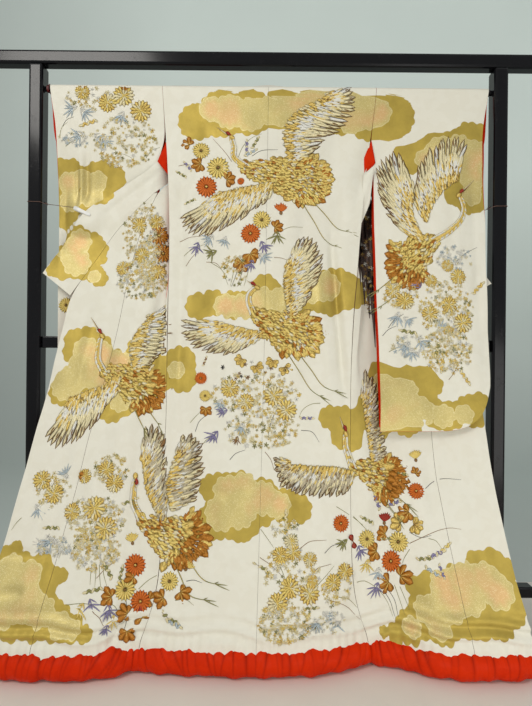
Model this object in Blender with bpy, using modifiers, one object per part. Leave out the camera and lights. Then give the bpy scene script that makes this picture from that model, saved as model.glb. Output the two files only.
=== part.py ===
"""An uchikake, the padded outer kimono of a wedding, opened out on its rod in a lacquered stand.

The garment is hung back to the viewer. Each half of the body is one length of silk that runs from the
back hem, over the shoulder and the rod, to the front hem, here as a back and a front that meet on top
of the rod. Below the armholes the two fronts are turned
outwards, so their right sides show beside the back: the left front passes before its sleeve and is held
out by a clip and a cord, and the right front passes behind its sleeve.

Lengths are in metres. X runs to the viewer's right, +Z is up and the viewer stands at -Y. The tables
give "out", the distance from the middle towards either side, and "forward", the distance from the
rod's axis towards the viewer. At the end everything is moved so that the origin is the footprint's middle.
"""

import math

import bmesh
import bpy
import numpy as np
from mathutils import Matrix

LEFT, RIGHT = -1, 1

# The stand.
POST_OUT = 0.7265
TIMBER = 0.044
TIMBER_ROUNDING = 0.008
TOP_RAIL_HEIGHT = 1.761
TOP_RAIL_LENGTH = 1.80
MIDDLE_RAIL_HEIGHT = 0.868
MIDDLE_RAIL_SIZE = (0.030, 0.037)
LOWER_RAIL_HEIGHT = 0.098
LOWER_RAIL_LENGTH = 1.69
LOWER_RAIL_SIZE = (0.044, 0.034)
FOOT_SIZE = (0.060, 0.400, 0.050)
SEAT = 0.0003

# The rod that carries the garment.
ROD_HEIGHT = 1.668
ROD_RADIUS = 0.0100
ROD_SOCKET = 0.010
CAP_RADIUS = 0.0155
CAP_LENGTH = 0.0085

# The cloth.
WALL = 0.0020
LINING_WALL = 0.0010
PARTING = 0.0003
LINING_RADIUS = ROD_RADIUS + PARTING + LINING_WALL
SHELL_RADIUS = LINING_RADIUS + PARTING + WALL
HEM_HEIGHT = 0.0715
LEAN_POWER = 1.9
HEM_WAVE_POWER = 5
BACK_ROWS = 18
WRAP_ROWS = 6
TOP_STRIP = 0.10
BODY_COLUMNS = 15
FOLD_COLUMNS = 4
OKUMI_COLUMNS = 4
COLLAR_COLUMNS = 4
SLEEVE_STEPS = (0, 0.012, 0.04, 0.075, 0.115, 0.22, 0.37, 0.52, 0.66, 0.79, 0.84, 0.89, 0.95, 1)
SLEEVE_COLUMNS = 8

# The padded roll of the hem.
ROLL_RADIUS = 0.0372
ROLL_SIDES = 10
ROLL_SINK = 0.0008
GATHER_DEPTH = 0.0030
GATHER_WIDTH = 0.0060
HEM_TUCK = 0.0195
HEM_CLEARANCE = 0.0014

# The clips and the cords that hold the fronts out.
CORD_RADIUS = 0.0010
CORD_POINTS = 48
CLIP_LENGTH, CLIP_WIDTH = 0.058, 0.013
CLIP_SLOT = (-0.0032, 0.0010)
CLIP_JAW = 0.0036

# Where the roll's middle lies on the floor, from the left end to the right.
HEM_LINE = {
    "across": (-0.762, -0.70, -0.62, -0.50, -0.41, -0.33, -0.25, -0.12, -0.018, 0.10, 0.20, 0.29, 0.37,
               0.45, 0.55, 0.64, 0.712),
    "forward": (0.296, 0.311, 0.319, 0.322, 0.306, 0.277, 0.286, 0.296, 0.298, 0.291, 0.268, 0.234, 0.254,
                0.291, 0.303, 0.302, 0.292),
}
HEM_MIDDLE = 0.298
LEAN = HEM_MIDDLE + HEM_TUCK - SHELL_RADIUS

# Stretches of the roll, each with the distance from one gather to the next.
GATHERS = {
    "start": (-0.745, -0.60, -0.44, -0.37, -0.27, -0.16, 0.05, 0.17, 0.25, 0.36, 0.48, 0.62),
    "end": (-0.60, -0.44, -0.37, -0.27, -0.16, 0.05, 0.17, 0.25, 0.36, 0.48, 0.62, 0.70),
    "spacing": (0.072, 0.040, 0.026, 0.020, 0.030, 0.070, 0.040, 0.026, 0.020, 0.030, 0.060, 0.080),
}

# Soft upright troughs in the back and the fronts: the line of each, its depth and its half width.
TROUGHS = {
    "across": (-0.262, -0.175, 0.075, 0.215, -0.40, -0.545, 0.405, 0.60, -0.09),
    "low": (0.55, 0.10, 0.10, 0.62, 0.12, 0.12, 0.12, 0.10, 1.25),
    "high": (1.45, 0.60, 0.52, 1.42, 0.62, 0.90, 0.50, 0.55, 1.66),
    "depth": (0.007, 0.005, 0.005, 0.010, 0.006, 0.005, 0.006, 0.004, 0.004),
    "width": (0.022, 0.035, 0.040, 0.028, 0.030, 0.030, 0.030, 0.025, 0.030),
}

# Each edge of the back, from the armhole down the side seam to the hem.
SIDE_SEAM = {
    LEFT: {
        "height": (0.07, 0.15, 0.26, 0.42, 0.67, 0.88, 1.10, 1.31, 1.385, 1.505),
        "out": (0.327, 0.298, 0.280, 0.283, 0.289, 0.295, 0.300, 0.305, 0.309, 0.321),
    },
    RIGHT: {
        "height": (0.07, 0.15, 0.26, 0.56, 0.82, 0.94, 1.055, 1.177, 1.385, 1.505),
        "out": (0.285, 0.254, 0.240, 0.243, 0.251, 0.260, 0.274, 0.287, 0.307, 0.323),
    },
}
SHOULDER_OUT = {LEFT: 0.333, RIGHT: 0.339}
CENTRE_SEAM = {"height": (0.07, 0.80, 1.68), "across": (-0.018, -0.006, 0.0)}
NECK_OUT = 0.090
NECK_START, NECK_END = math.radians(60), math.radians(100)
ARMHOLE_LOW = 1.505
OPENING_LOW = 1.31
FRONT_EDGE_DRAW = 0.022

# The front, row by row. Each row leaves the side edge at "side", turns out over a ridge, goes in behind
# the back as far as a fold, comes out again and ends at the seam or collar on the front's other edge.
FRONT_ROWS = {
    LEFT: {
        "side": (0.07, 0.15, 0.26, 0.42, 0.67, 0.88, 1.00, 1.10, 1.22, 1.31, 1.37, 1.43, 1.49, 1.54, 1.60, 1.645),
        "ridge": (0.010, 0.009, 0.008, 0.008, 0.008, 0.007, 0.007, 0.006, 0.006, 0.004, 0.0, 0.0, 0.0, 0.0, 0.0, 0.0),
        "fold_in": (-0.050, -0.046, -0.044, -0.042, -0.036, -0.020, 0.004, 0.022, 0.055, 0.090, 0.118, 0.148, 0.176,
                    0.204, 0.226, 0.236),
        "recess": (0.003, 0.003, 0.003, 0.004, 0.006, 0.010, 0.013, 0.018, 0.026, 0.034, 0.038, 0.030, 0.026, 0.024,
                   0.022, 0.020),
        "seam_out": (0.592, 0.580, 0.562, 0.535, 0.492, 0.453, 0.432, 0.414, 0.380, 0.342, 0.296, 0.247, 0.210,
                     0.170, 0.125, 0.0945),
        "seam_height": (0.07, 0.15, 0.26, 0.42, 0.67, 0.88, 1.010, 1.125, 1.250, 1.335, 1.398, 1.462, 1.505,
                        1.560, 1.610, 1.646),
    },
    RIGHT: {
        "side": (0.07, 0.15, 0.26, 0.48, 0.60, 0.88, 1.00, 1.10, 1.22, 1.31, 1.37, 1.43, 1.49, 1.54, 1.60, 1.645),
        "ridge": (0.016, 0.015, 0.014, 0.013, 0.013, 0.020, 0.024, 0.025, 0.023, 0.016, 0.0, 0.0, 0.0, 0.0, 0.0, 0.0),
        "fold_in": (-0.060, -0.056, -0.052, -0.048, -0.044, -0.018, 0.000, 0.018, 0.052, 0.088, 0.118, 0.148, 0.176,
                    0.204, 0.226, 0.236),
        "recess": (0.003, 0.006, 0.010, 0.018, 0.022, 0.034, 0.040, 0.043, 0.044, 0.044, 0.044, 0.032, 0.026, 0.024,
                   0.022, 0.020),
        "seam_out": (0.545, 0.533, 0.521, 0.497, 0.492, 0.468, 0.450, 0.428, 0.386, 0.345, 0.298, 0.247, 0.210,
                     0.170, 0.125, 0.0945),
        "seam_height": (0.07, 0.15, 0.26, 0.48, 0.60, 0.88, 1.010, 1.125, 1.250, 1.335, 1.398, 1.462, 1.505,
                        1.560, 1.610, 1.646),
    },
}

# The okumi, the long gore between a front and its free edge. Down to the collar's end its outer edge
# is sewn to the collar.
COLLAR_ROW = 1.00
OKUMI_EDGE = {
    LEFT: {
        "height": (0.07, 0.232, 0.33, 0.41, 0.557, 0.686, 0.819, 0.859, 1.011, 1.045, 1.175, 1.235, 1.317, 1.372, 1.440),
        "out": (0.755, 0.726, 0.704, 0.694, 0.674, 0.649, 0.631, 0.620, 0.599, 0.576, 0.497, 0.450, 0.372, 0.318, 0.262),
    },
    RIGHT: {
        "height": (0.07, 0.158, 0.237, 0.334, 0.462, 0.591, 0.651, 0.80, 1.011, 1.045, 1.175, 1.235, 1.317, 1.372, 1.440),
        "out": (0.708, 0.691, 0.678, 0.665, 0.654, 0.649, 0.645, 0.636, 0.612, 0.590, 0.508, 0.458, 0.376, 0.320, 0.262),
    },
}
OKUMI_TIP = 1.31

# The collar round the back of the neck, from its middle: its sewn edge, its fold and its free edge.
NECK_COLLAR = {
    "seam_out": (0.000, 0.040, 0.074, 0.0870, 0.0875),
    "seam_forward": (0.0056, 0.0022, -0.0012, -0.0072, -0.0170),
    "seam_height": (1.6803, 1.6812, 1.6818, 1.6802, 1.6690),
    "fold_out": (0.000, 0.039, 0.060, 0.071, 0.0740),
    "fold_forward": (-0.0060, -0.0065, -0.012, -0.022, -0.0310),
    "fold_height": (1.6930, 1.6915, 1.6870, 1.6720, 1.6500),
    "free_out": (0.000, 0.037, 0.053, 0.059, 0.0600),
    "free_forward": (-0.0270, -0.0275, -0.030, -0.036, -0.0430),
    "free_height": (1.6400, 1.6400, 1.6420, 1.6340, 1.6180),
}
# The rest of the collar above the okumi, row by row of the front it is sewn to.
FRONT_COLLAR = {
    LEFT: {
        "side": (1.34, 1.37, 1.40, 1.43, 1.49, 1.545, 1.60, 1.645),
        "fold_out": (0.346, 0.326, 0.308, 0.281, 0.240, 0.182, 0.118, 0.0800),
        "fold_forward": (0.026, 0.010, -0.018, -0.040, -0.058, -0.068, -0.064, -0.042),
        "fold_height": (1.400, 1.432, 1.457, 1.488, 1.524, 1.567, 1.606, 1.631),
        "free_out": (0.354, 0.338, 0.326, 0.308, 0.268, 0.196, 0.112, 0.064),
        "free_forward": (0.023, 0.014, -0.008, -0.030, -0.060, -0.084, -0.088, -0.056),
        "free_height": (1.426, 1.449, 1.474, 1.503, 1.540, 1.570, 1.596, 1.604),
    },
    RIGHT: {
        "side": (1.34, 1.37, 1.43, 1.49, 1.545, 1.60, 1.645),
        "fold_out": (0.350, 0.330, 0.287, 0.240, 0.182, 0.118, 0.0800),
        "fold_forward": (-0.026, -0.038, -0.050, -0.060, -0.068, -0.064, -0.042),
        "fold_height": (1.403, 1.432, 1.486, 1.524, 1.567, 1.606, 1.631),
        "free_out": (0.382, 0.366, 0.322, 0.268, 0.196, 0.112, 0.064),
        "free_forward": (-0.020, -0.030, -0.050, -0.066, -0.084, -0.088, -0.056),
        "free_height": (1.434, 1.458, 1.510, 1.540, 1.570, 1.596, 1.604),
    },
}
# The collar's free edge beside the okumi, against the height of the sewn edge there.
COLLAR_EDGE = {
    LEFT: {
        "seam_height": (1.011, 1.148, 1.212, 1.268, 1.317, 1.345),
        "out": (0.685, 0.602, 0.562, 0.476, 0.411, 0.372),
        "height": (1.078, 1.220, 1.281, 1.338, 1.383, 1.409),
    },
    RIGHT: {
        "seam_height": (1.011, 1.148, 1.212, 1.268, 1.317, 1.345),
        "out": (0.703, 0.610, 0.570, 0.484, 0.424, 0.396),
        "height": (1.064, 1.214, 1.279, 1.340, 1.388, 1.414),
    },
}

# The sleeve's outline: the armhole and open inner edge, and the outer edge with the cuff opening.
SLEEVE_INNER = {
    LEFT: {"height": (0.60, 0.88, 1.32, 1.447, 1.505), "out": (0.346, 0.346, 0.346, 0.346, 0.3216)},
    RIGHT: {"height": (0.60, 0.88, 1.07, 1.32, 1.452, 1.505), "out": (0.331, 0.335, 0.335, 0.333, 0.335, 0.3236)},
}
SLEEVE_OUTER_NEAR = {
    LEFT: {"height": (0.60, 0.83, 1.10, 1.30, 1.475, 1.54, 1.62, 1.682),
           "out": (0.648, 0.650, 0.656, 0.662, 0.663, 0.665, 0.679, 0.688)},
    RIGHT: {"height": (0.60, 0.72, 0.795, 0.916, 1.104, 1.295, 1.475, 1.54, 1.60, 1.682),
            "out": (0.655, 0.662, 0.669, 0.676, 0.680, 0.680, 0.670, 0.672, 0.680, 0.694)},
}
SLEEVE_OUTER_FAR = {
    LEFT: {"height": (0.60, 0.83, 1.10, 1.30, 1.475, 1.53, 1.59, 1.682),
           "out": (0.648, 0.650, 0.656, 0.662, 0.669, 0.677, 0.683, 0.6885)},
    RIGHT: {"height": (0.60, 0.72, 0.795, 0.916, 1.104, 1.295, 1.475, 1.53, 1.60, 1.682),
            "out": (0.655, 0.662, 0.669, 0.676, 0.680, 0.680, 0.682, 0.686, 0.691, 0.6945)},
}
SLEEVE_BOTTOM = {LEFT: 0.600, RIGHT: 0.617}
SLEEVE_CORNER = 0.125
CUFF_LOW = 1.45
SEAM_HALF_GAP = 0.0024
SEAM_SWELL = 0.12
LINING_SHOW = 0.0025
LEFT_SLEEVE_LEAN = {"height": (0.59, 0.87, 1.10, 1.33, 1.70), "forward": (0.040, 0.034, 0.014, 0.0, 0.0)}
BEHIND = 0.044
SLEEVE_BEFORE_FRONT = 0.0245

COLOURS = {
    "silk": (0.86, 0.83, 0.78), "red_silk": (0.72, 0.05, 0.02), "lacquer": (0.006, 0.006, 0.009),
    "cap": (0.10, 0.01, 0.01), "clip": (0.90, 0.90, 0.88), "cord": (0.10, 0.045, 0.03),
}
FINISHES = {"silk": 0.55, "red_silk": 0.42, "lacquer": 0.12, "cap": 0.3, "clip": 0.4, "cord": 0.8}


def clear_scene():
    for thing in list(bpy.data.objects):
        bpy.data.objects.remove(thing)


def new_collection(name):
    made = bpy.data.collections.new(name)
    bpy.context.scene.collection.children.link(made)
    return made


def material_of(name):
    if name in bpy.data.materials:
        return bpy.data.materials[name]
    made = bpy.data.materials.new(name)
    made.use_nodes = True
    shader = made.node_tree.nodes["Principled BSDF"]
    shader.inputs["Base Color"].default_value = (*COLOURS[name], 1)
    shader.inputs["Roughness"].default_value = FINISHES[name]
    return made


def reading(table, column, at, key="height"):
    """The column's value where the key column has the value `at`, on a smooth curve that never overshoots."""
    known, values = np.array(table[key], float), np.array(table[column], float)
    at = np.clip(at, known[0], known[-1])
    widths = np.diff(known)
    slopes = np.diff(values) / widths
    tangents = np.concatenate([[slopes[0]], (slopes[1:] + slopes[:-1]) / 2, [slopes[-1]]])
    turning = slopes[1:] * slopes[:-1] <= 0
    tangents[1:-1][turning] = 0
    steepest = 3 * np.minimum(np.abs(np.concatenate([[slopes[0]], slopes])),
                              np.abs(np.concatenate([slopes, [slopes[-1]]])))
    tangents = np.clip(tangents, -steepest, steepest)
    i = np.clip(np.searchsorted(known, at, side="right") - 1, 0, len(widths) - 1)
    s = (at - known[i]) / widths[i]
    return ((1 + 2 * s) * (1 - s) ** 2 * values[i] + s * (1 - s) ** 2 * widths[i] * tangents[i]
            + s * s * (3 - 2 * s) * values[i + 1] + s * s * (s - 1) * widths[i] * tangents[i + 1])


def curve_through(points, count, at=None, before=0, steps=24):
    """`count` evenly spaced points on a centripetal Catmull-Rom curve through the given ones.

    With `at`, that one of the given points is met exactly, after `before` of the spaces.
    """
    points = np.array(points, float)
    points = np.vstack([2 * points[0] - points[1], points, 2 * points[-1] - points[-2]])
    dense = []
    for p0, p1, p2, p3 in zip(points, points[1:], points[2:], points[3:]):
        knots = np.cumsum([0] + [max(np.linalg.norm(b - a), 1e-6) ** 0.5
                                 for a, b in ((p0, p1), (p1, p2), (p2, p3))])
        for t in np.linspace(knots[1], knots[2], steps, endpoint=False):
            a1 = ((knots[1] - t) * p0 + (t - knots[0]) * p1) / (knots[1] - knots[0])
            a2 = ((knots[2] - t) * p1 + (t - knots[1]) * p2) / (knots[2] - knots[1])
            a3 = ((knots[3] - t) * p2 + (t - knots[2]) * p3) / (knots[3] - knots[2])
            b1 = ((knots[2] - t) * a1 + (t - knots[0]) * a2) / (knots[2] - knots[0])
            b2 = ((knots[3] - t) * a2 + (t - knots[1]) * a3) / (knots[3] - knots[1])
            dense.append(((knots[2] - t) * b1 + (t - knots[1]) * b2) / (knots[2] - knots[1]))
    dense = np.array(dense + [points[-2]])
    along = np.concatenate([[0], np.cumsum(np.linalg.norm(np.diff(dense, axis=0), axis=1))])
    wanted = np.linspace(0, along[-1], count)
    if at is not None:
        middle = along[at * steps]
        wanted = np.concatenate([np.linspace(0, middle, before + 1), np.linspace(middle, along[-1], count - before)[1:]])
    return np.stack([np.interp(wanted, along, dense[:, i]) for i in range(dense.shape[1])], axis=1)


def fall(height):
    """0 at the rod and 1 at the hem."""
    return min(1.0, max(0.0, (ROD_HEIGHT - height) / (ROD_HEIGHT - HEM_HEIGHT)))


def gather_places():
    """Where along the hem the roll is gathered."""
    places = []
    for start, end, spacing in zip(*GATHERS.values()):
        count = max(1, round((end - start) / spacing))
        places += [start + (end - start) * (k + 0.5) / count for k in range(count)]
    return places


def roll_stations():
    """Places along the roll, each with how far it is drawn in there."""
    stations = [(HEM_LINE["across"][0], 0.0), (HEM_LINE["across"][-1], 0.0)]
    for k, place in enumerate(gather_places()):
        deep = GATHER_DEPTH * (0.6 + 0.4 * math.sin(2.4 * k))
        stations += [(place - GATHER_WIDTH, 0.0), (place, deep), (place + GATHER_WIDTH, 0.0)]
    return sorted(stations)


STATIONS = np.array([across for across, _ in roll_stations()])


def hem_forward(across):
    """Where the middle of the roll lies, straight from station to station."""
    return float(np.interp(across, STATIONS, reading(HEM_LINE, "forward", STATIONS, key="across")))


def trough_depth(across, height):
    """How far the soft troughs set the cloth back at a point."""
    depth = 0.0
    for line, low, high, deep, width in zip(*TROUGHS.values()):
        rise = (height - low) / (high - low)
        if 0 < rise < 1:
            depth += deep * math.sin(math.pi * rise) * math.exp(-(((across - line) / width) ** 2))
    return depth


def body_forward(across, height):
    """The right side of the hanging cloth: it leans forward from the rod and follows the roll's waves."""
    drop = fall(height)
    wave = (hem_forward(across) - HEM_MIDDLE) * drop ** HEM_WAVE_POWER
    return SHELL_RADIUS + LEAN * drop ** LEAN_POWER + wave - trough_depth(across, height)


def front_forward(side, out, height):
    """The front's right side beyond its fold. The right one hangs behind its sleeve."""
    forward = body_forward(side * out, height)
    return forward if side == LEFT else forward - BEHIND * (1 - fall(height) ** 3)


def side_out(side, height):
    """How far out the body's side edge is. Along the armhole it runs straight up to the shoulder."""
    if height <= ARMHOLE_LOW:
        return reading(SIDE_SEAM[side], "out", height)
    low = SIDE_SEAM[side]["out"][-1]
    share = min(1.0, (height - ARMHOLE_LOW) / (ROD_HEIGHT - ARMHOLE_LOW))
    return low + (SHOULDER_OUT[side] - low) * share


def smooth_step(low, high, value):
    share = min(1.0, max(0.0, (value - low) / (high - low)))
    return share * share * (3 - 2 * share)


def hem_height(across):
    """Where the cloth's lower edge rests on the roll's round."""
    slope = (hem_forward(across + 0.004) - hem_forward(across - 0.004)) / 0.008
    reach = (HEM_TUCK - WALL) / math.hypot(1, slope)
    corners = [2 * math.pi * step / ROLL_SIDES for step in range(ROLL_SIDES // 4 + 1)][::-1]
    round_of_roll = [ROLL_RADIUS * math.cos(a) for a in corners], [ROLL_RADIUS * math.sin(a) for a in corners]
    return ROLL_RADIUS - ROLL_SINK + float(np.interp(reach, *round_of_roll)) + HEM_CLEARANCE


def point(side, out, forward, height):
    return (side * out, -forward, height)


def grid_object(name, rows, side, wall, material, parts):
    """A cloth wall. The rows are points of its right side, and the wall's thickness goes inwards."""
    rows = np.array(rows, float)
    count, columns = rows.shape[:2]
    faces = []
    for i in range(count - 1):
        for j in range(columns - 1):
            a = i * columns + j
            face = (a, a + 1, a + columns + 1, a + columns)
            faces.append(face if side == RIGHT else face[::-1])
    mesh = bpy.data.meshes.new(name)
    mesh.from_pydata(rows.reshape(-1, 3).tolist(), [], faces)
    mesh.materials.append(material_of(material))
    mesh.shade_smooth()
    made = bpy.data.objects.new(name, mesh)
    parts.objects.link(made)
    solidify = made.modifiers.new("wall", "SOLIDIFY")
    solidify.thickness = wall
    solidify.offset = -1
    solidify.use_even_offset = False
    return made


def back_heights():
    """Rows from the hem to the rod, closer together near the hem."""
    share = np.linspace(0, 1, BACK_ROWS)
    return HEM_HEIGHT + (ROD_HEIGHT - HEM_HEIGHT) * (0.35 * share ** 2 + 0.65 * share)


def back_row(side, height):
    centre = reading(CENTRE_SEAM, "across", height) * side + PARTING
    edge = side_out(side, height) - PARTING
    row = []
    for out in np.linspace(centre, edge, BODY_COLUMNS):
        low = hem_height(side * out) if height == HEM_HEIGHT else height
        row.append(point(side, out, body_forward(side * out, low), low))
    return row


def wrap_row(side, angle):
    """One row of the body over the rod. Past the neck point the inner edge follows the neckline."""
    height = ROD_HEIGHT + SHELL_RADIUS * math.sin(angle)
    share = min(1.0, max(0.0, (angle - NECK_START) / (NECK_END - NECK_START)))
    inner = PARTING + (NECK_OUT - PARTING) * share * share * (3 - 2 * share)
    edge = side_out(side, height) - PARTING
    forward = SHELL_RADIUS * math.cos(angle)
    return [point(side, out, forward, height) for out in np.linspace(inner, edge, BODY_COLUMNS)]


def front_start(side, height):
    """Where a front row begins at the side: on the rod's far side above, joined to the back below."""
    out = side_out(side, height)
    joined = body_forward(side * out, height)
    share = min(1.0, max(0.0, (height - OPENING_LOW) / (ARMHOLE_LOW - 0.05 - OPENING_LOW)))
    free = share * share * (3 - 2 * share)
    drawn = FRONT_EDGE_DRAW * math.sin(math.pi * (height - OPENING_LOW) / (ARMHOLE_LOW - OPENING_LOW))
    if not OPENING_LOW < height < ARMHOLE_LOW:
        drawn = 0.0
    return out + PARTING * (1 - 2 * free) - drawn, joined * (1 - free) - SHELL_RADIUS * free


def passing(side, out, forward, behind):
    """The opened front comes from behind the back to lie beside it. The left one turns round its sleeve's edge."""
    start, end = (0.290, 0.336) if side == LEFT else (0.300, 0.385)
    share = smooth_step(start, end, out)
    return behind + (forward - behind) * share


def front_seam(side, height):
    """The front's other edge, against the height at its side edge: out, forward and height."""
    table = FRONT_ROWS[side]
    out, seam_height = (reading(table, c, height, key="side") for c in ("seam_out", "seam_height"))
    behind = -SHELL_RADIUS - reading(table, "recess", height, key="side")
    if height == HEM_HEIGHT:
        seam_height = hem_height(side * out)
    return out, passing(side, out, front_forward(side, out, seam_height), behind), seam_height


def front_row(side, height):
    """One row of the front, from its seam or collar edge to its side edge."""
    table = FRONT_ROWS[side]
    ridge, fold_in, recess = (reading(table, c, height, key="side") for c in ("ridge", "fold_in", "recess"))
    start_out, start_forward = front_start(side, height)
    seam_out, seam_forward, seam_height = front_seam(side, height)
    rise = seam_height - height
    inwards = smooth_step(0.0, 0.03, fold_in)
    if height < ARMHOLE_LOW:
        start_out += PARTING + WALL * math.sin(math.pi * smooth_step(-0.035, 0.03, fold_in))
        start_forward -= (2 * WALL + 3 * PARTING) * smooth_step(-0.015, 0.015, fold_in)
    fold_out = start_out - fold_in
    turn = max(0.340 if side == LEFT else 0.370, fold_out + 0.045)
    points = [(start_out, start_forward, height),
              (start_out + max(0.0, ridge) * (1 - inwards) - 0.15 * max(0.0, fold_in),
               start_forward - 0.25 * ridge - 0.4 * recess * inwards, height + 0.05 * rise),
              (fold_out, start_forward - recess * (0.5 + 0.2 * inwards), height + 0.45 * rise)]
    if seam_out > turn + 0.02:
        back_out = min(fold_out + 0.030, (fold_out + turn) / 2)
        points.append((back_out, start_forward - recess * (1 + 0.2 * inwards), height + 0.6 * rise))
        for out in np.linspace(turn, seam_out, 5)[:-1]:
            level = height + (0.6 + 0.4 * (out - back_out) / (seam_out - back_out)) * rise
            points.append((out, front_forward(side, out, level), level))
    else:
        back_out = min(fold_out + 0.030, (fold_out + seam_out) / 2)
        points.append((back_out, start_forward - recess, height + 0.6 * rise))
    points.append((seam_out - PARTING, seam_forward, seam_height))
    row = curve_through(points, BODY_COLUMNS, at=2, before=FOLD_COLUMNS)[::-1]
    if height == HEM_HEIGHT:
        row[:, 2] = [hem_height(side * out) for out in row[:, 0]]
        beyond = row[:, 0] > start_out + 0.001
        row[beyond, 1] = [front_forward(side, out, low) for out, low in row[beyond][:, [0, 2]]]
    return [point(side, *p) for p in row]


def front_side_heights():
    """Heights of the front's rows at its side edge, down from the shoulder."""
    return (1.645, 1.60, 1.545, 1.49, 1.43, 1.40, 1.37, 1.34, OKUMI_TIP, 1.275, 1.24, 1.20, 1.16, 1.11, 1.06, COLLAR_ROW, 0.92,
            0.83, 0.73, 0.62, 0.50, 0.39, 0.29, 0.20, 0.13, 0.093, HEM_HEIGHT)


def body_half(side, word, parts):
    """One length of silk: up the back, over the rod and down the front. It is two solids that part on the rod's top."""
    top, parting = math.pi / 2, PARTING / (SHELL_RADIUS - WALL)
    over = [math.pi * k / WRAP_ROWS for k in range(1, WRAP_ROWS + 1) if 2 * k != WRAP_ROWS]
    up = [angle for angle in over if angle < top] + [top - TOP_STRIP, top - parting]
    down = [top + parting, top + TOP_STRIP] + [angle for angle in over if angle > top]
    back = [back_row(side, height) for height in back_heights()] + [wrap_row(side, angle) for angle in up]
    front = [wrap_row(side, angle) for angle in down] + [front_row(side, height) for height in front_side_heights()]
    grid_object(f"back_{word}", back, side, WALL, "silk", parts)
    grid_object(f"front_{word}", front, side, WALL, "silk", parts)


def okumi_edge(side, height):
    """The okumi's outer edge at a height of its own, as out and forward."""
    out = reading(OKUMI_EDGE[side], "out", height)
    return out, passing(side, out, front_forward(side, out, height), -SHELL_RADIUS - 0.030)


def okumi(side, name, parts):
    """The gore, with a row wherever the front has one, so that their seam is one line."""
    rows = []
    for level in (h for h in front_side_heights() if h <= OKUMI_TIP):
        seam_out, seam_forward, height = front_seam(side, level)
        edge_out, edge_forward = okumi_edge(side, height)
        row = []
        for share in np.linspace(0, 1, OKUMI_COLUMNS + 1):
            out = (seam_out + 2 * PARTING) * (1 - share) + (edge_out - PARTING) * share
            at = hem_height(side * out) if level == HEM_HEIGHT else height
            blend = seam_forward * (1 - share) + edge_forward * share
            low = 1 - smooth_step(0.95, 1.15, height)
            row.append(point(side, out, front_forward(side, out, at) * low + blend * (1 - low), at))
        rows.append(row)
    return grid_object(name, rows[::-1], side, WALL, "silk", parts)


def away_from(seam, fold, gap):
    """The sewn edge moved a seam's parting towards the band's own fold."""
    seam, fold = np.array(seam, float), np.array(fold, float)
    return list(seam + gap * (fold - seam) / np.linalg.norm(fold - seam))


def collar_sections(side):
    """Sections of one half of the collar, each as sewn edge, fold and free edge."""
    columns = [NECK_COLLAR[f"{line}_{axis}"] for line in ("seam", "fold", "free") for axis in ("out", "forward", "height")]
    sections = [[row[0:3], row[3:6], row[6:9]] for row in zip(*columns)]
    table = FRONT_COLLAR[side]
    for level in (h for h in front_side_heights() if h >= COLLAR_ROW):
        if level > OKUMI_TIP:
            fold, free = ([reading(table, f"{line}_{axis}", level, key="side") for axis in ("out", "forward", "height")]
                          for line in ("fold", "free"))
            gap = (16 if 1.50 < level < 1.62 else 8 if level > 1.45 else 4) * PARTING
            sections.append([away_from(front_seam(side, level), fold, gap), fold, free])
            continue
        height = front_seam(side, level)[2]
        seam = (*okumi_edge(side, height), height)
        free_out, free_height = (reading(COLLAR_EDGE[side], c, height, key="seam_height") for c in ("out", "height"))
        free_forward = front_forward(side, free_out, free_height)
        if side == RIGHT:
            free_forward = min(free_forward, seam[1])
        free = [free_out, free_forward, free_height]
        seam = away_from(seam, free, 2 * PARTING)
        fold = [(a + b) / 2 for a, b in zip(seam, free)]
        if side == LEFT:
            fold[1] = front_forward(side, fold[0], fold[2])
        sections.append([seam, fold, free])
    return sections


def collar(parts):
    """One long band round the neck and down both fronts to its square ends."""
    halves = {}
    for side in (LEFT, RIGHT):
        rows = [curve_through(section, COLLAR_COLUMNS + 1) for section in collar_sections(side)]
        halves[side] = [[point(side, *p) for p in row] for row in rows]
    rows = halves[LEFT][::-1] + halves[RIGHT][1:]
    return grid_object("collar", rows, LEFT, WALL, "silk", parts)


def sleeve_lean(side, height):
    if side == LEFT:
        return reading(LEFT_SLEEVE_LEAN, "forward", height)
    panel = front_forward(RIGHT, 0.50, height) + SLEEVE_BEFORE_FRONT
    return (panel + math.sqrt(panel * panel + 0.0001)) / 2 * min(1.0, (ROD_HEIGHT - height) / 0.30)


def sleeve_inner(side, height):
    """The sleeve's inner edge: sewn to the body along the armhole, open below it."""
    if height > ARMHOLE_LOW:
        return side_out(side, height) + PARTING
    return reading(SLEEVE_INNER[side], "out", height)


def half_gap(side, out, height, outer):
    """Half the distance between the sleeve's layers: the rod's radius, closing towards the sewn edges."""
    bottom = SLEEVE_BOTTOM[side]
    into, up = out - (outer - SLEEVE_CORNER), height - bottom
    if into > 0 and up < SLEEVE_CORNER:
        inside = SLEEVE_CORNER - math.hypot(into, SLEEVE_CORNER - up)
    else:
        inside = min(outer - out, up)
    inside += SEAM_SWELL * smooth_step(CUFF_LOW, CUFF_LOW + 0.05, height)
    share = math.sin(min(1.0, max(0.0, inside / SEAM_SWELL)) * math.pi / 2)
    return SEAM_HALF_GAP + (SHELL_RADIUS - SEAM_HALF_GAP) * share


def sleeve_bottom(side, out, outer):
    """The lower edge, straight from the inner edge and rounded up to the outer one."""
    into = out - (outer - SLEEVE_CORNER)
    rise = SLEEVE_CORNER - math.sqrt(max(0.0, SLEEVE_CORNER ** 2 - into ** 2)) if into > 0 else 0.0
    return SLEEVE_BOTTOM[side] + rise


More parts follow.
